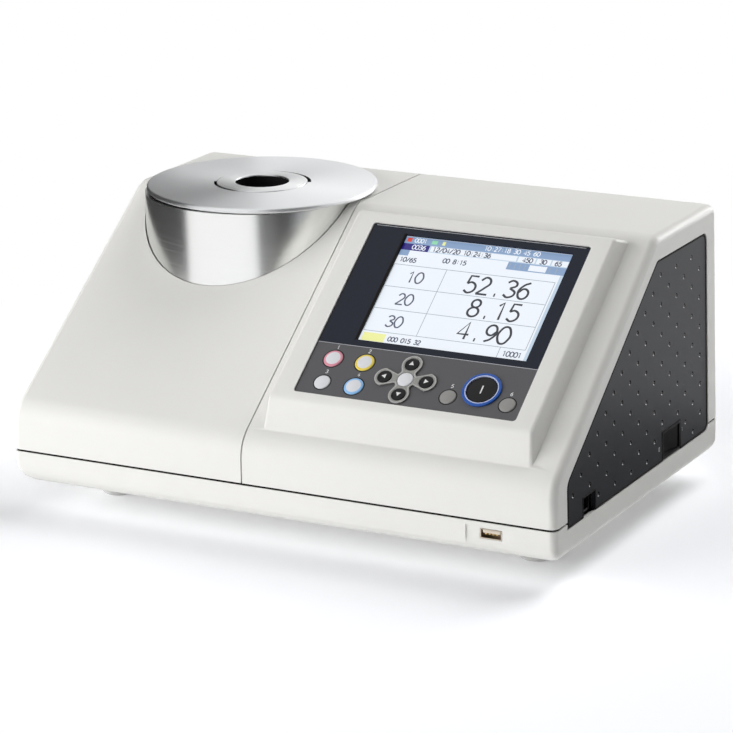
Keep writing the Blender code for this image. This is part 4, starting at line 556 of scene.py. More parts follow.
# %% Fitting finishes
def plated(name, colour, roughness, grain=1.5, depth=0.003, metallic=1.0):
    material, tree, shader = new_finish(name, colour, roughness, metallic)
    patches = cloud(tree, object_place(tree), grain * MM, 4.0)
    connect(
        tree, shader,
        Base_Color=tint(tree, patches, darker(colour, 0.88), colour),
        Roughness=uneven(tree, patches, roughness, 0.08),
        Normal=relief(tree, patches, depth * MM),
    )
    return material


finishes["warm_nickel"] = plated("warm_nickel", (0.78, 0.69, 0.56), 0.32, 0.8)
finishes["steel"] = plated("plated_steel", (0.58, 0.59, 0.60), 0.34)
gold = plated("gold_contact", (0.83, 0.58, 0.24), 0.28, 0.6)
black_bore = plated("black_anodised_bore", (0.018, 0.018, 0.019), 0.24, 1.0, 0.004, 0.3)
print("fittings: steel, gold, black anodising")

# %% [markdown]
# ## A lit display
# The panel makes its own light, so most of its colour goes to emission and little to the
# surface. A faint change of tone keeps it from being one flat colour.

# %% Lit finish
GLOW_SHARE = 0.80
SCREEN_PATCH = 30 * MM


def lit(name, colour):
    return glowing(name, darker(colour, 0.2), 0.28, colour, GLOW_SHARE, SCREEN_PATCH)


screen_white = finishes["screen"] = lit("screen_white", (0.88, 0.93, 1.0))
screen_header = lit("screen_header_blue", (0.25, 0.37, 0.58))
screen_pale = lit("screen_pale_blue", (0.55, 0.67, 0.80))
screen_tag = lit("screen_dark_tag", (0.020, 0.012, 0.20))
screen_yellow = lit("screen_yellow_tag", (0.88, 0.90, 0.36))
screen_ink = lit("screen_ink", (0.030, 0.034, 0.045))
screen_line = lit("screen_line", (0.36, 0.42, 0.46))
screen_grey = lit("screen_grey_ink", (0.085, 0.10, 0.15))
screen_red = lit("screen_red_mark", (0.75, 0.06, 0.03))
screen_green = lit("screen_green_mark", (0.30, 0.72, 0.45))
white_ink = moulded("white_print", (0.80, 0.80, 0.80), 0.45, 0.5, 0.002)
print("screen colours ready")

# %% [markdown]
# ## Finishes onto the CAD parts
# The record names a material slot for each CAD part. Following it keeps the picture and
# the record in step, and no part is forgotten.

# %% Dress every CAD part
OWN_FINISH = {"stick_socket": "warm_nickel"}
for part in frame["record"]["subparts"]:
    node = frame["nodes"][part["node"]]
    node.data.materials.clear()
    node.data.materials.append(finishes[OWN_FINISH.get(part["node"], part["material_slot"])])
    soften(node)

# %% [markdown]
# ## Helpers that make pieces
# A new piece is a mesh in its final place, a finish and the CAD body that it moves with.
# Turned pieces come from a profile swept round an axis; a Screw modifier could do that,
# but a loop over rings also lets each band of the profile take its own finish.

# %% Adding a finished piece
SMOOTH_ANGLE = math.radians(32)


def add_piece(mesh, materials, body="casing", stands_for=None):
    """Add a mesh under its own name, riding on a CAD body."""
    for material in materials:
        mesh.materials.append(material)
    mesh.shade_smooth()
    mesh.set_sharp_from_angle(angle=SMOOTH_ANGLE)
    piece = bpy.data.objects.new(mesh.name, mesh)
    studio.collection.objects.link(piece)
    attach(piece, body)
    if stands_for:
        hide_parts(stands_for)
    return piece


def mesh_from(name, bm, matrix=None):
    bmesh.ops.recalc_face_normals(bm, faces=bm.faces)
    mesh = bpy.data.meshes.new(name)
    bm.to_mesh(mesh)
    bm.free()
    if matrix is not None:
        mesh.transform(matrix)
    return mesh


# %% Turned shapes
def circle(x, y, radius, steps=40):
    return arc(x, y, radius, 0, 360, steps)[:-1]


def turned(name, profile, steps, matrix, closed=True):
    """Sweep (radius, height, finish number) points round the third axis of the matrix."""
    bm = bmesh.new()
    rings = []
    for radius, height, _ in profile:
        if radius == 0:
            rings.append([bm.verts.new((0, 0, height))] * steps)
        else:
            rings.append([bm.verts.new((x, y, height)) for x, y in circle(0, 0, radius, steps)])
    for i in range(len(profile) if closed else len(profile) - 1):
        upper, lower = rings[i], rings[(i + 1) % len(profile)]
        for k in range(steps):
            after = (k + 1) % steps
            corners = list(dict.fromkeys((upper[k], upper[after], lower[after], lower[k])))
            if len(corners) > 2:
                bm.faces.new(corners).material_index = profile[i][2]
    return mesh_from(name, bm, matrix)


def rounded_rim(radius, high, edge, steps, finish=0):
    """Points of a quarter round from a flat top down to an upright side."""
    return [(r, z, finish) for r, z in arc(radius - edge, high - edge, edge, 90, 0, steps)]


print("turned shapes ready")

# %% [markdown]
# ## Measuring stage
# The disc is turned from aluminium: a flat top, a rounded rim and a step underneath
# that leaves a shadow line above the column. Two finger grooves, cut as thin crescents,
# let the round mask be lifted out. The crescents are cut with a Boolean, because a
# groove that tapers along an arc can't come from turning alone.

# %% Stage disc
DISC_RADIUS, HUB_RADIUS, SEAT_RADIUS, NECK_BORE = mm(76.8, 72.5, 30.6, 20.2)
DISC_TOP, SEAT_HEIGHT, RIM_LOW, HUB_LOW = mm(191.4, 188.6, 188.1, 187.0)
RIM_ROUND, RIM_UNDER_ROUND = mm(1.5, 0.9)
DISC_STEPS = 160

under_round = arc(DISC_RADIUS - RIM_UNDER_ROUND, RIM_LOW + RIM_UNDER_ROUND, RIM_UNDER_ROUND, 0, -90, 3)
disc_profile = rounded_rim(DISC_RADIUS, DISC_TOP, RIM_ROUND, 5) + [(r, z, 0) for r, z in under_round]
disc_profile += [(HUB_RADIUS, RIM_LOW, 0), (HUB_RADIUS, HUB_LOW, 0), (NECK_BORE, HUB_LOW, 1)]
disc_profile += [(NECK_BORE, SEAT_HEIGHT, 1), (SEAT_RADIUS, SEAT_HEIGHT, 1), (SEAT_RADIUS, DISC_TOP, 0)]
on_stage = Matrix.Translation(STAGE_CENTRE)
disc_mesh = turned("turned_stage_disc", disc_profile, DISC_STEPS, on_stage)
stage_disc = add_piece(disc_mesh, [disc_metal, black_bore], stands_for="stage_disc")
print("disc points:", len(disc_mesh.vertices))

# %% Finger grooves
GROOVES = {"far": (31.8 * MM, 15), "near": (31.2 * MM, 195)}        # radius and first angle
GROOVE_SHIFT, GROOVE_FLOOR, CUT_ABOVE = mm(0.9, 189.2, 5)
GROOVE_BREAK = 7
GROOVE_STEPS = 48


def prism(outline, low, high, bm=None):
    bm = bm or bmesh.new()
    foot, roof = ([bm.verts.new((x, y, z)) for x, y in outline] for z in (low, high))
    bm.faces.new(foot)
    bm.faces.new(roof)
    for k in range(len(outline)):
        after = (k + 1) % len(outline)
        bm.faces.new((foot[k], foot[after], roof[after], roof[k]))
    return bm


def make_cutter(name, bm, materials):
    """A cutting body; the faces that it leaves take the second of its materials."""
    cutter = bpy.data.objects.new(name, mesh_from(name, bm))
    for material in materials:
        cutter.data.materials.append(material)
    for face in cutter.data.polygons:
        face.material_index = 1
    studio.collection.objects.link(cutter)
    return cutter


def groove_cutter(name, radius, start):
    middle = STAGE_CENTRE + GROOVE_SHIFT * direction(start, 0)
    crescent = arc(
        middle.x, middle.y, radius, start + GROOVE_BREAK, start + 180 - GROOVE_BREAK, GROOVE_STEPS
    )
    return make_cutter(name, prism(crescent, GROOVE_FLOOR, DISC_TOP + CUT_ABOVE), [disc_metal, black_bore])


def evaluated_mesh(source):
    """The mesh that an object's modifiers or curves give."""
    bpy.context.view_layer.update()
    depsgraph = bpy.context.evaluated_depsgraph_get()
    return bpy.data.meshes.new_from_object(source.evaluated_get(depsgraph))


def settle(piece):
    """Apply the piece's modifiers to its mesh."""
    finished = evaluated_mesh(piece)
    piece.modifiers.clear()
    piece.data = finished


def carve(piece, cutters):
    for cutter in cutters:
        modifier = piece.modifiers.new(cutter.name, "BOOLEAN")
        modifier.operation = "DIFFERENCE"
        modifier.solver = "EXACT"
        modifier.object = cutter
    settle(piece)
    for cutter in cutters:
        bpy.data.objects.remove(cutter)


carve(stage_disc, [groove_cutter(f"{side}_groove", *place) for side, place in GROOVES.items()])
print("disc with grooves, points:", len(stage_disc.data.vertices))

# %% [markdown]
# The mask is a small turned ring round the port. Its top is bright like the disc, and
# the wall of its bore is black, so that no stray light comes back out of it.

# %% Target mask
MASK_RADIUS, MASK_STEP_RADIUS, MASK_SKIRT, PORT_RADIUS = mm(30.2, 27.4, 19.6, 18.0)
MASK_TOP, MASK_SEAT, MASK_SKIRT_LOW = mm(192.0, 188.9, 180.3)
MASK_ROUND, MASK_STEP = mm(0.5, 0.12)
RING_STEPS = 96

port_edge = rounded_rim(PORT_RADIUS, MASK_TOP, MASK_ROUND, 3)[::-1]
mask_profile = rounded_rim(MASK_RADIUS, MASK_TOP - MASK_STEP, MASK_ROUND, 3)
mask_profile += [(MASK_RADIUS, MASK_SEAT, 0), (MASK_SKIRT, MASK_SEAT, 1), (MASK_SKIRT, MASK_SKIRT_LOW, 1)]
mask_profile += [(PORT_RADIUS, MASK_SKIRT_LOW, 1), (PORT_RADIUS, MASK_TOP - 2 * MASK_ROUND, 0)]
mask_profile += [(2 * PORT_RADIUS - r, z, 0) for r, z, _ in port_edge]
mask_profile += [(MASK_STEP_RADIUS, MASK_TOP, 0), (MASK_STEP_RADIUS + MASK_STEP, MASK_TOP - MASK_STEP, 0)]
mask_mesh = turned("turned_target_mask", mask_profile, RING_STEPS, on_stage)
add_piece(mask_mesh, [mask_metal, black_bore], "mask", "target_mask")
print("mask points:", len(mask_mesh.vertices))

# %% [markdown]
# ## Numbers drawn with one stroke
# The display and the key field carry plain numbers. A font object would make solid
# outlines of letters; instruments of this kind draw thin figures of even width, so each
# figure here is one or two strokes of a Bezier curve with a round section, flattened
# until it is only a print.

# %% Figures as strokes
FIGURES = {        # strokes; each is its kind and its points in hundredths of the figure's size
    "0": ["loop 50,100 6,72 6,28 50,0 94,28 94,72"],
    "1": ["straight 22,80 55,100 55,0"],
    "2": ["bent 8,80 48,100 90,76 55,36 4,0", "straight 4,0 96,0"],
    "3": ["bent 8,86 48,100 88,77 42,54", "bent 42,54 94,27 46,0 5,14"],
    "4": ["straight 72,0 72,100 4,28 98,28"],
    "5": ["straight 88,100 22,100 14,54", "bent 14,54 52,63 93,32 48,0 5,13"],
    "6": ["bent 82,98 36,80 7,34 50,0 93,31 52,60 9,36"],
    "7": ["straight 4,100 95,100 34,0"],
    "8": ["loop 50,100 14,77 50,54 86,77", "loop 50,54 6,27 50,0 94,27"],
    "9": ["bent 91,64 48,40 7,69 50,100 93,66 64,20 18,2"],
    ".": ["straight 44,4 56,4"],
    ":": ["straight 45,25 55,25", "straight 45,70 55,70"],
    "/": ["straight 10,0 90,100"],
    " ": [],
}
FIGURE_WIDTH_SHARE = 0.60
FIGURE_ADVANCE_SHARE = 0.67
POINT_WEIGHT = 1.7
FLATNESS = 0.12


def new_pen(name, stroke):
    curve = bpy.data.curves.new(name, "CURVE")
    curve.dimensions = "3D"
    curve.bevel_depth = stroke / 2 * MM
    curve.bevel_resolution = 1
    curve.resolution_u = 6
    curve.use_fill_caps = True
    return curve


def write(pen, text, x, y, height):
    """Draw a line of figures from the left end of its foot line, in millimetres."""
    for i, figure in enumerate(text):
        left = x + i * FIGURE_ADVANCE_SHARE * height
        for drawn in FIGURES[figure]:
            kind, *points = drawn.split()
            stroke = pen.splines.new("BEZIER")
            stroke.bezier_points.add(len(points) - 1)
            for spot, point in zip(stroke.bezier_points, points):
                across, up = (int(number) / 100 * height for number in point.split(","))
                spot.co = mm(left + across * FIGURE_WIDTH_SHARE, y + up, 0)
                spot.radius = POINT_WEIGHT if figure in ".:" else 1.0
                handles = "VECTOR" if kind == "straight" else "AUTO"
                spot.handle_left_type = spot.handle_right_type = handles
            stroke.use_cyclic_u = kind == "loop"


def curve_mesh(curve):
    source = bpy.data.objects.new(curve.name, curve)
    studio.collection.objects.link(source)
    mesh = evaluated_mesh(source)
    bpy.data.objects.remove(source)
    return mesh


def print_pen(pen, matrix, material, body="casing", flatness=FLATNESS):
    """Turn the pen's strokes into a flat print on a plane."""
    mesh = curve_mesh(pen)
    mesh.transform(matrix @ Matrix.Diagonal((1, 1, flatness, 1)))
    mesh.materials.clear()
    add_piece(mesh, [material], body)


def print_texts(name, stroke, texts, matrix, material):
    """Print lines of figures, each given as text, left end, foot line and height."""
    pen = new_pen(name, stroke)
    for text in texts:
        write(pen, *text)
    print_pen(pen, matrix, material)


print("figures:", "".join(FIGURES).strip())

# %% [markdown]
# ## The display picture
# The picture on the panel is built from thin colour blocks, lines and figures, each a
# few hundredths of a millimetre above the one below, as ink layers are. A texture image
# would be quicker, but it would blur close to, and this part carries no images.

# %% Blocks of colour on the screen
SCREEN_FACE = 8.9
LAYER = 0.03


def block(name, low, high, material, slot, matrix=None):
    """A block between two corners, given in millimetres."""
    (left, front, foot), (right, rear, top) = Vector(low) * MM, Vector(high) * MM
    bm = prism([(left, front), (right, front), (right, rear), (left, rear)], foot, top)
    add_piece(mesh_from(name, bm, matrix), [material])


def screen_block(name, left, right, low, high, layers, material):
    top = SCREEN_FACE + layers * LAYER
    block("screen_" + name, (left, low, SCREEN_FACE), (right, high, top), material, "screen", slope)


SCREEN_BLOCKS = [        # left, right, low and high edge, number of layers
    ("header_bar", 27.8, 145.0, 164.6, 170.2, 1, screen_header),
    ("second_bar", 46.8, 145.0, 159.2, 164.6, 1, screen_pale),
    ("date_box", 48.0, 108.4, 159.9, 164.2, 1.6, screen_white),
    ("field_1", 109.4, 121.2, 159.9, 164.2, 1.6, screen_white),
    ("field_2", 122.2, 131.8, 159.9, 164.2, 1.6, screen_white),
    ("field_3", 132.8, 143.6, 159.9, 164.2, 1.6, screen_white),
    ("tag_dark", 27.8, 46.8, 159.2, 164.6, 1, screen_tag),
    ("tab_left", 27.8, 34.5, 154.6, 159.2, 1, screen_header),
    ("tab_row", 104.0, 145.0, 153.0, 159.2, 1, screen_header),
    ("tab_white", 119.0, 131.0, 153.8, 158.4, 2, screen_white),
    ("edge_right", 141.8, 145.0, 84.0, 153.0, 1, screen_pale),
    ("edge_low", 27.8, 145.0, 82.5, 83.6, 1, screen_pale),
    ("tag_yellow", 29.6, 45.2, 84.2, 90.6, 1, screen_yellow),
    ("mark_red", 29.4, 32.6, 166.0, 169.2, 2, screen_red),
    ("mark_green", 46.8, 50.8, 166.0, 169.0, 2, screen_green),
    ("mark_yellow", 54.4, 56.4, 166.0, 169.0, 2, screen_yellow),
]
for screen_row in SCREEN_BLOCKS:
    screen_block(*screen_row)
print("screen blocks:", len(SCREEN_BLOCKS))

# %% Lines and figures on the screen
TABLE_LEFT, TABLE_RIGHT, TABLE_COLUMN = 28.4, 140.4, 65.4
TABLE_ROWS = (147.0, 128.8, 110.6, 92.2)
FOOT_COLUMN, FOOT_LOW = 123.4, 84.0
TAB_MARKS, TAB_LOW, TAB_HIGH = (105.5, 109.0, 112.5, 116.0, 133.0, 137.6), 154.0, 158.2
LINE_WIDTH = 0.42
LINE_LAYERS = 2.2
half = LINE_WIDTH / 2

lines = [(TABLE_LEFT, TABLE_RIGHT, row - half, row + half) for row in TABLE_ROWS]
for upright in (TABLE_LEFT, TABLE_COLUMN, TABLE_RIGHT):
    lines.append((upright - half, upright + half, TABLE_ROWS[-1], TABLE_ROWS[0]))
lines.append((FOOT_COLUMN, FOOT_COLUMN + LINE_WIDTH, FOOT_LOW, TABLE_ROWS[-1]))
lines += [(left, left + LINE_WIDTH, TAB_LOW, TAB_HIGH) for left in TAB_MARKS]
for i, edges in enumerate(lines):
    screen_block(f"line_{i + 1}", *edges, LINE_LAYERS, screen_line)

SCREEN_TEXTS = {        # width and colour of the stroke, then text, left end, foot line, height
    "readings": (1.55, screen_ink, [
        ("52.36", 82.0, 131.0, 13.6), (" 8.15", 82.0, 112.8, 13.6), (" 4.90", 82.0, 94.6, 13.6),
    ]),
    "row_numbers": (1.1, screen_grey, [
        ("10", 41.0, 133.4, 8.8), ("20", 41.0, 115.2, 8.8), ("30", 41.0, 96.9, 8.8),
    ]),
    "small_figures": (0.74, screen_grey, [
        ("12/04/20 10:24:36", 49.6, 160.2, 3.6), ("450", 112.6, 160.2, 3.5), ("30", 124.6, 160.2, 3.5),
        ("65", 135.0, 160.2, 3.5), ("10/65", 30.4, 149.6, 3.5), ("00 8:15", 60.0, 152.2, 3.5),
        ("000 015 32", 47.6, 85.7, 3.4), ("10001", 126.6, 85.7, 3.9),
    ]),
    "pale_figures": (0.60, screen_white, [
        ("0036", 35.0, 160.3, 3.6), ("0001", 34.8, 166.0, 3.2), ("10:27:18 30 45 60", 84.0, 166.0, 3.4),
    ]),
}
ink_plane = above_slope((SCREEN_FACE + 2 * LAYER) * MM)
for name, (stroke, ink, texts) in SCREEN_TEXTS.items():
    print_texts("screen_" + name, stroke, texts, ink_plane, ink)
print("screen lines:", len(lines), "printed with:", ", ".join(SCREEN_TEXTS))

# %% [markdown]
# ## Key field
# Each key is a domed cap that slides in its hole, on its own CAD body. Three of the keys
# on the left wear a coloured ring, which is a second band of the same turned profile, so
# ring and cap can never part.

# %% Key caps
PANE_TOP, KEY_PROUD, PAD_LIFT, CROWN, KEY_ROUND = mm(11.0, 0.55, 0.8, 0.45, 0.7)
FLANGE_TOP, FLANGE_LOW, FLANGE_REACH = mm(-2.1, -3.0, 0.475)
RING_SHARE = 0.85
CROWN_SHARES = (0.35, 0.65, RING_SHARE, 0.92)
RINGED = ("pink_key", "yellow_key", "blue_key")
KEYS = {        # middle, radius, slot, whether it stands in the cursor pad
    "target_key": (18.9, 65.2, 6.4, "pink_key", False),
    "standard_key": (41.0, 65.2, 6.4, "yellow_key", False),
    "list_key": (18.9, 46.2, 5.3, "pale_key", False),
    "options_key": (41.0, 46.2, 6.4, "blue_key", False),
    "cursor_up_key": (73.2, 68.0, 4.6, "black", True),
    "cursor_down_key": (73.2, 44.2, 4.6, "black", True),
    "cursor_left_key": (58.9, 56.1, 4.6, "black", True),
    "cursor_right_key": (87.5, 56.1, 4.6, "black", True),
    "cursor_centre_key": (73.2, 56.1, 5.2, "pale_key", True),
    "return_key": (105.3, 47.9, 5.3, "grey_key", False),
    "measure_key": (125.4, 56.2, 10.0, "black", False),
    "output_key": (145.5, 47.9, 5.3, "grey_key", False),
}


def key_cap(name, x, y, radius, slot, in_pad):
    top = KEY_PROUD + (PAD_LIFT if in_pad else 0)
    edge = 1 if slot in RINGED else 0
    profile = [(0, top + CROWN, 0)]
    for share in CROWN_SHARES:
        outer = edge if share >= RING_SHARE else 0
        profile.append(((radius - KEY_ROUND) * share, top + CROWN * (1 - share**2), outer))
    profile += rounded_rim(radius, top, KEY_ROUND, 4, edge)
    profile += [(radius, FLANGE_TOP, edge), (radius + FLANGE_REACH, FLANGE_TOP, edge)]
    profile += [(radius + FLANGE_REACH, FLANGE_LOW, edge), (0, FLANGE_LOW, edge)]
    place = slope @ Matrix.Translation((x, y, PANE_TOP))
    mesh = turned(name + "_cap", profile, 40, place, closed=False)
    cap_finish = finishes["pale_key" if edge else slot]
    add_piece(mesh, [cap_finish, finishes[slot]], name, name)


for key_name, (x, y, radius, slot, in_pad) in KEYS.items():
    key_cap(key_name, *mm(x, y, radius), slot, in_pad)
print("key caps:", len(KEYS))

# %% [markdown]
# The four arrows are small flat triangles that ride on their own keys. The start key
# carries a plain stroke, and the soft keys have bare numbers printed beside them.

# %% Arrows and printed numbers
ARROW_SIZE, ARROW_DROP = mm(1.9, 0.05)
ARROW_LEVEL = PANE_TOP + KEY_PROUD + PAD_LIFT + CROWN
ARROW_TURNS = {"up": 90, "down": 270, "left": 180, "right": 0}
KEY_NUMBERS = [
    ("1", 18.0, 73.2, 2.6), ("2", 40.1, 73.2, 2.6), ("3", 18.0, 53.6, 2.6), ("4", 40.1, 54.4, 2.6),
    ("5", 104.4, 55.2, 2.6), ("6", 144.6, 55.2, 2.6),
]
START_STROKE = [mm(125.4, 53.2), mm(125.4, 59.2)]


def arrow(key_name, turn):
    corners = arc(*mm(*KEYS[key_name][:2]), ARROW_SIZE, turn, turn + 360, 3)[:-1]
    bm = prism(corners, ARROW_LEVEL - 2 * ARROW_DROP, ARROW_LEVEL + ARROW_DROP)
    add_piece(mesh_from(key_name + "_arrow", bm, slope), [white_ink], key_name)


def trace(curve, points, closed=True):
    """Add a straight-sided line through flat points."""
    line = curve.splines.new("POLY")
    line.points.add(len(points) - 1)
    for spot, (x, y) in zip(line.points, points):
        spot.co = (x, y, 0, 1)
    line.use_cyclic_u = closed


for way, turn in ARROW_TURNS.items():
    arrow(f"cursor_{way}_key", turn)

pane_plane = above_slope(PANE_TOP)
print_texts("key_numbers", 0.42, KEY_NUMBERS, pane_plane, white_ink)
start_pen = new_pen("start_mark", 0.9)
trace(start_pen, START_STROKE, closed=False)
print_pen(start_pen, above_slope(PANE_TOP + KEY_PROUD + CROWN), white_ink, "measure_key")
print("arrows:", len(ARROW_TURNS), "printed numbers:", len(KEY_NUMBERS))

# %% [markdown]
# ## Cursor pad
# The pad under the arrow keys is a soft cross: five discs melted together. Its outline
# is where a blended distance to the discs is zero, found along rays from the middle. A
# Boolean union would leave sharp creases between the discs, and the real pad has none.

# %% Outline of the cursor pad
PAD_MIDDLE = Vector(mm(73.2, 56.1))
LOBE_RADIUS, PAD_CORE_RADIUS, BLEND_REACH, FARTHEST = mm(6.8, 6.5, 1.5, 40)
PAD_STEPS = 120
HALVINGS = 30

pad_discs = [(PAD_MIDDLE, PAD_CORE_RADIUS)]
pad_discs += [(Vector(KEYS[f"cursor_{way}_key"][:2]) * MM, LOBE_RADIUS) for way in ARROW_TURNS]


def melted_distance(point):
    near = [(point - middle).length - radius for middle, radius in pad_discs]
    return -BLEND_REACH * math.log(sum(math.exp(-d / BLEND_REACH) for d in near))


def pad_outline(grow):
    outline = []
    for ray in circle(0, 0, 1, PAD_STEPS):
        inner, outer = 0.0, FARTHEST
        for _ in range(HALVINGS):
            middle = (inner + outer) / 2
            if melted_distance(PAD_MIDDLE + Vector(ray) * middle) < grow:
                inner = middle
            else:
                outer = middle
        outline.append(PAD_MIDDLE + Vector(ray) * inner)
    return outline


widest = max((p - PAD_MIDDLE).length for p in pad_outline(0))
print("pad reaches", round(widest / MM, 1), "mm from its middle")

# %% Pad with holes for its keys
PAD_LOW, PAD_HIGH, PAD_ROUND, HOLE_GAP, PAD_RIM_INSET = mm(11.3, 12.1, 0.18, 0.25, 0.5)


def welded(mesh):
    """Take up a mesh for editing, with the copies of each point made one."""
    bm = bmesh.new()
    bm.from_mesh(mesh)
    bmesh.ops.remove_doubles(bm, verts=bm.verts, dist=WELD_DISTANCE)
    bm.normal_update()
    return bm


def flat_shape(name, outlines, low, high, rounding):
    """A flat sheet with holes: the first outline is the edge and the rest are holes."""
    curve = bpy.data.curves.new(name, "CURVE")
    curve.dimensions = "2D"
    curve.fill_mode = "BOTH"
    curve.extrude = (high - low) / 2 - rounding
    curve.bevel_depth = rounding
    curve.bevel_resolution = 2
    curve.offset = -rounding
    for outline in outlines:
        trace(curve, outline)
    sheet_mesh = curve_mesh(curve)
    bm = welded(sheet_mesh)
    bpy.data.meshes.remove(sheet_mesh)
    return mesh_from(name, bm, above_slope((low + high) / 2))


pad_holes = [
    circle(x * MM, y * MM, r * MM + HOLE_GAP) for x, y, r, _, in_pad in KEYS.values() if in_pad
]
pad_mesh = flat_shape("soft_cursor_pad", [pad_outline(0)] + pad_holes, PAD_LOW, PAD_HIGH, PAD_ROUND)
add_piece(pad_mesh, [finishes["mat"]], stands_for="cursor_pad")

rim_pen = new_pen("cursor_pad_rim", 0.6)
trace(rim_pen, pad_outline(-PAD_RIM_INSET))
pad_rim_finish = moulded("pale_pad_rim", (0.45, 0.45, 0.44), 0.45)
print_pen(rim_pen, above_slope(PAD_HIGH), pad_rim_finish)
print("pad holes:", len(pad_holes))

# %% [markdown]
# The large key has a bright blue ring with a thin pale line inside it. Both are bands of
# one turned ring.

# %% Ring round the large key
RING_OUTER, RING_LINE, RING_INNER = mm(12.75, 10.95, 10.3)
RING_LOW, RING_HIGH, RING_ROUND = mm(11.3, 12.2, 0.45)
RING_MIDDLE = mm(125.4, 56.2, 0)

ring_profile = [(RING_LINE, RING_HIGH, 0)] + rounded_rim(RING_OUTER, RING_HIGH, RING_ROUND, 4)
ring_profile += [(RING_OUTER, RING_LOW, 0), (RING_INNER, RING_LOW, 1), (RING_INNER, RING_HIGH, 1)]
ring_mesh = turned("two_tone_ring", ring_profile, RING_STEPS, slope @ Matrix.Translation(RING_MIDDLE))
pale_line = moulded("pale_ring_line", (0.50, 0.56, 0.80), 0.35, 0.5, 0.004)
add_piece(ring_mesh, [finishes["blue_ring"], pale_line], stands_for="measure_ring")
print("ring points:", len(ring_mesh.vertices))

# %% [markdown]
# Fine dark lines paint the shade in the gaps round the window and the keys. A few thin
# plates paint the frame's shadow at the left edge of the screen and a highlight along the
# upper edge of the glass, and one stands for the bar between display and keys.

# %% Painted gap shade, shadow and highlight at the window
WINDOW_CORNERS = ((153.3, 174.3), (5.0, 174.3), (5.0, 38.2), (153.3, 38.2))
WINDOW_ROUND = 2.0
KEY_GAP = 0.38
LARGE_KEY = 10


def outline_print(name, outlines, width, matrix, slot, flatness=FLATNESS):
    pen = new_pen(name, width)
    for outline in outlines:
        trace(pen, outline)
    print_pen(pen, matrix, finishes[slot], flatness=flatness)


# Black line round the window: painted shade in the gap between the window and its frame.
window_shade_outline = []
for k, (x, y) in enumerate(WINDOW_CORNERS):
    window_shade_outline += arc(*mm(x, y, WINDOW_ROUND), 90 * k, 90 * k + 90, 6)
outline_print("window_gap_shade", [window_shade_outline], 0.7, pane_plane, "black")
# Black rings round the keys: painted shade in the gaps round them.
key_shade_rings = [
    circle(*mm(x, y, r + KEY_GAP)) for x, y, r, _, in_pad in KEYS.values() if not in_pad and r < LARGE_KEY
]
outline_print("key_gap_shade", key_shade_rings, 0.8, pane_plane, "black")
# The pale line along the top edge of the glass is a painted highlight, and the two dark plates at the
# screen's left edge paint the shadow that the frame casts on the screen.
pane_highlight_finish = moulded("painted_pane_highlight", (0.50, 0.51, 0.54), 0.35, 0.5, 0.002)
divider_line = plated("divider_line", (0.55, 0.56, 0.60), 0.4)
for plate in (
    ("pane_edge_highlight", (5, 175.0, 10.8), (152, 175.4, 11.06), pane_highlight_finish, "bezel"),
    ("screen_shadow_wall_left", (27.8, 82.5, 8.9), (28.0, 170.2, 11), finishes["rubber"], "black"),
    ("screen_shadow_edge_left", (26.8, 82.0, 10.8), (27.85, 170.8, 11.05), finishes["rubber"], "black"),
    ("window_divider", (3.2, 77.0, 9.4), (155.1, 77.4, 11.06), divider_line, "steel"),
):
    block(*plate, slope)
print("gap lines round", len(key_shade_rings), "keys")

# %% [markdown]
# ## Joint line
# A dark line runs all round between the tray and the covers. It is partly the edge of the
# band that seals the joint and partly painted shade in the gap. The CAD band stops deep in
# the gap, so its outer wall is drawn out here until it stands just below the surface.

# %% Strip that fills the joint and paints its shade
JOINT_LOW, JOINT_HIGH, STRIP_REACH = mm(40.42, 41.78, 2.45)
LEAST_SIDEWAYS = 0.3

bm = welded(frame["nodes"]["joint_band"].data)
middle_height = (JOINT_LOW + JOINT_HIGH) / 2
moved = 0
for vert in bm.verts:
    flat = Vector((vert.normal.x, vert.normal.y, 0))
    outward = flat.x * vert.co.x / HALF_WIDTH + flat.y * vert.co.y / (BODY_DEPTH / 2)
    if flat.length > LEAST_SIDEWAYS and outward > 0:
        vert.co += flat.normalized() * STRIP_REACH
        vert.co.z = JOINT_HIGH if vert.co.z > middle_height else JOINT_LOW
        moved += 1
add_piece(mesh_from("joint_seal_and_gap_shade", bm), [finishes["rubber"]])
print("joint strip: points drawn out", moved)

# %% [markdown]
# ## Side panel
# The dark side panel has small round dimples in a staggered grid. They are true hollows
# here, cut by small spheres, because a bump map would vanish in the outline and in the
# exported mesh. The grid is a formula, so one pitch moves them all.

# %% Dimples in the side panel
PANEL_FACE_X, JOINT_HEIGHT = mm(191.7, 41.1)
LEAN_SHARE = 0.0251
DIMPLE_RADIUS, DIMPLE_DEPTH = mm(1.60, 0.75)
DIMPLE_COLUMNS, DIMPLE_ROWS = 18, 9
GRID_REAR, GRID_PITCH_Y, GRID_HIGH, GRID_PITCH_Z, GRID_RISE = mm(101.4, 12.76, 168.5, 19.4, 0.24)
PANEL_FRONT, PANEL_REAR, PANEL_LOW, PANEL_HIGH = mm(-112.3, 112.5, 37.7, 169.9)
PANEL_SLOPE_DROP, EDGE_MARGIN, NOTCH_MARGIN = mm(16.5, 4.0, 2.0)
NOTCHES = [mm(-88.3, -69.5, 49.8), mm(36.9, 66.9, 56.4)]


def panel_x(height):
    return PANEL_FACE_X * (1 - LEAN_SHARE * (height - JOINT_HEIGHT) / HALF_WIDTH)


def in_notch(y, z, front, rear, top):
    return front - NOTCH_MARGIN < y < rear + NOTCH_MARGIN and z < top + NOTCH_MARGIN


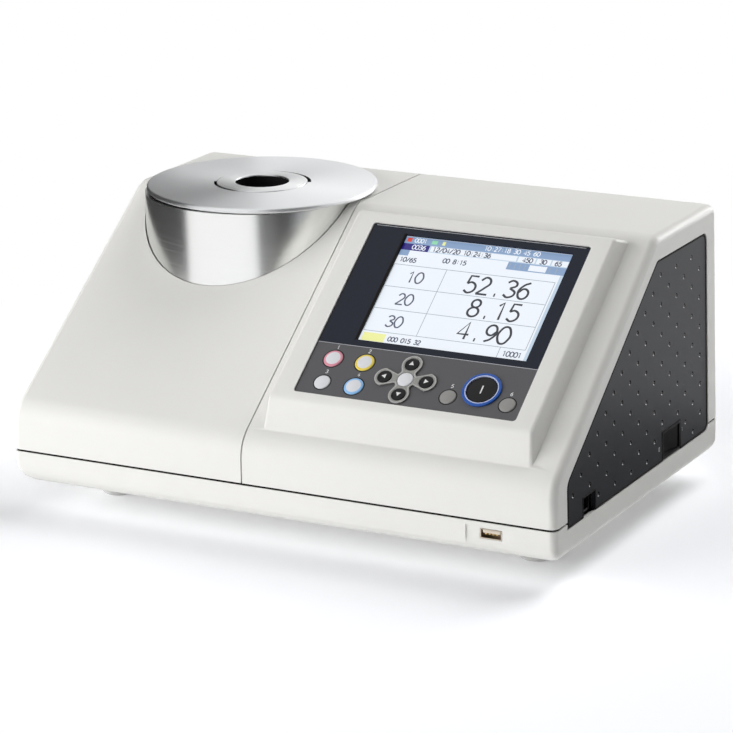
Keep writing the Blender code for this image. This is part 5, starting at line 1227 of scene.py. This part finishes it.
def on_panel(y, z):
    slope_height = SLOPE_FOOT + (y + BODY_DEPTH / 2) * SLOPE_RISE / SLOPE_RUN - PANEL_SLOPE_DROP
    inside = PANEL_FRONT + EDGE_MARGIN < y < PANEL_REAR - EDGE_MARGIN
    inside = inside and PANEL_LOW + EDGE_MARGIN < z < min(PANEL_HIGH, slope_height) - EDGE_MARGIN
    return inside and not any(in_notch(y, z, *notch) for notch in NOTCHES)


dimples = []
for column in range(DIMPLE_COLUMNS):
    y = GRID_REAR - column * GRID_PITCH_Y
    for row in range(DIMPLE_ROWS):
        z = GRID_HIGH - (row + (column % 2) / 2) * GRID_PITCH_Z + column * GRID_RISE
        if on_panel(y, z):
            dimples.append((y, z))
print("dimples:", len(dimples))

# %% Cut the dimples
FACE_DEPTH = 0.5 * MM
DIMPLE_SHARP = math.radians(25)
ball_radius = (DIMPLE_RADIUS**2 + DIMPLE_DEPTH**2) / (2 * DIMPLE_DEPTH)
bm = bmesh.new()
for y, z in dimples:
    ball_place = Matrix.Translation((panel_x(z) + ball_radius - DIMPLE_DEPTH, y, z))
    bmesh.ops.create_icosphere(bm, subdivisions=3, radius=ball_radius, matrix=ball_place)
# The dimples' finish is glossier than the panel's, and darker: the darker colour paints shade in the
# hollows.
pressed = moulded("dimple_gloss_and_painted_shade", (0.012, 0.012, 0.013), 0.20, 0.5, 0.002, 0.9)
panel_finishes = [finishes["dark_panel"], pressed]
dimple_cutter = make_cutter("dimple_cutter", bm, panel_finishes)

bm = welded(frame["nodes"]["side_panel"].data)
outer_edges = [
    e for e in bm.edges
    if sum(f.normal.x > 0.999 for f in e.link_faces) == 1
    and all(v.co.x > panel_x(v.co.z) - FACE_DEPTH for v in e.verts)
]
panel_edge = [outer_edges[0].verts[0]]
while outer_edges:
    step = next((e for e in outer_edges if panel_edge[-1] in e.verts), None)
    if step is None:
        break
    outer_edges.remove(step)
    panel_edge.append(step.other_vert(panel_edge[-1]))
panel_edge = [(v.co.y, v.co.z) for v in panel_edge[:-1]]
print("panel edge points:", len(panel_edge), "left over:", len(outer_edges))
panel_mesh = mesh_from("dimpled_side_panel", bm)
panel_mesh.materials.clear()
side_panel = add_piece(panel_mesh, panel_finishes, stands_for="side_panel")
carve(side_panel, [dimple_cutter])
side_panel.data.shade_smooth()
side_panel.data.set_sharp_from_angle(angle=DIMPLE_SHARP)
settle(soften(side_panel))
print("panel faces:", len(side_panel.data.polygons))

# %% [markdown]
# The panel lies in a recess of the cover, and the gap all round it lies in shade. That
# shade is painted as a thin black line along the edge of the panel's face. At the slanted
# front the cover's edge hides that line, so a second one lies a little further in. The
# switch gets its plain marks for on and off.

# %% Painted shade in the gap round the side panel, marks at the switch
GAP_WIDTH, GAP_FLATNESS = 2.0, 0.3
DEEP_GAP_WIDTH = 1.8
DEEP_GAP_SHIFT, FRONT_REACH = mm(2.1, 2.5)
SWITCH_MARKS = [("0", 31.0, 45.0, 2.6), ("1", 69.5, 48.0, 2.6)]

lean = -PANEL_FACE_X * LEAN_SHARE / HALF_WIDTH
panel_plane = Matrix(((0, lean, 1, panel_x(0)), (1, 0, 0, 0), (0, 1, 0, 0), (0, 0, 0, 1)))
outline_print("side_panel_gap_shade", [panel_edge], GAP_WIDTH, panel_plane, "rubber", GAP_FLATNESS)


def front_of_panel(height):
    along_slope = (height - SLOPE_FOOT + PANEL_SLOPE_DROP) * SLOPE_RUN / SLOPE_RISE - BODY_DEPTH / 2
    return max(PANEL_FRONT, along_slope)


front_edge = [(y, z) for y, z in panel_edge if abs(y - front_of_panel(z)) < FRONT_REACH]
front_edge.sort(key=lambda point: point[1])
deep_gap = new_pen("side_panel_deep_gap_shade", DEEP_GAP_WIDTH)
trace(deep_gap, [(y + DEEP_GAP_SHIFT, z) for y, z in front_edge], closed=False)
print_pen(deep_gap, panel_plane, finishes["rubber"], flatness=GAP_FLATNESS)
print_texts("switch_marks", 0.35, SWITCH_MARKS, panel_plane, white_ink)
print("gap line points:", len(panel_edge), "of them at the front:", len(front_edge))

# %% [markdown]
# ## Sockets and screws
# Small metal parts sell the scale of an instrument: the contacts in the memory-stick
# socket, the pins and screw posts of the serial socket, and the cross recess in each
# cover screw. They are plain blocks and cylinders, set where the CAD solids leave room.
# The cross recess is only a thin black cross, which paints the shade inside it.

# %% Contacts in the stick socket
STICK_X, CONTACT_PITCH, HALF_CONTACT = 149.25, 2.5, 0.55
for i in range(4):
    x = STICK_X + (i - 1.5) * CONTACT_PITCH
    low, high = (x - HALF_CONTACT, -128.9, 32.6), (x + HALF_CONTACT, -121.5, 33.3)
    block(f"stick_contact_{i + 1}", low, high, gold, "steel")
print("stick socket contacts: 4")

# %% Pins and posts of the serial socket, recesses of the cover screws
SERIAL_X, PIN_PITCH, POST_REACH = 126, 2.76, 12.5
SCREWS_X, SCREW_Z = (-165, -50, 25, 176), 52.5
RECESS_FRONT, RECESS_REAR = 129.9, 130.45
CROSS_ARMS = ((1.6, 0.3), (0.3, 1.6))


def rod(name, places, radius, start_y, stop_y, material, steps):
    bm = bmesh.new()
    for x, z in places:
        prism(arc(*mm(x, z, radius), 90, 450, steps)[:-1], *mm(-stop_y, -start_y), bm)
    lying = Matrix.Rotation(math.pi / 2, 4, "X")
    add_piece(mesh_from(name, bm, lying), [material])


pins = [(SERIAL_X + (i - 2) * PIN_PITCH, 71.4) for i in range(5)]
pins += [(SERIAL_X + (i - 1.5) * PIN_PITCH, 68.6) for i in range(4)]
rod("serial_pins", pins, 0.5, 124.0, 128.6, gold, 12)
for side, x in (("left", SERIAL_X + POST_REACH), ("right", SERIAL_X - POST_REACH)):
    rod(f"serial_post_{side}", [(x, 70)], 2.4, 127.0, 130.0, finishes["steel"], 6)

# Each cross recess is a thin black cross: painted shade inside the recess.
for i, x in enumerate(SCREWS_X):
    for j, (across, up) in enumerate(CROSS_ARMS):
        low, high = (x - across, RECESS_FRONT, SCREW_Z - up), (x + across, RECESS_REAR, SCREW_Z + up)
        block(f"cover_screw_recess_{i + 1}_{j + 1}", low, high, finishes["black"], "black")
print("pins:", len(pins), "cross recesses:", len(SCREWS_X))

# %% [markdown]
# ## Box of the finished model
# The box round the finished model, without the studio, is measured and its size printed
# at the end. The finished model has to stay inside the CAD box.

# %% Sizes and the end
low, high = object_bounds()
print("scene size:", [round(x, 4) for x in high - low])
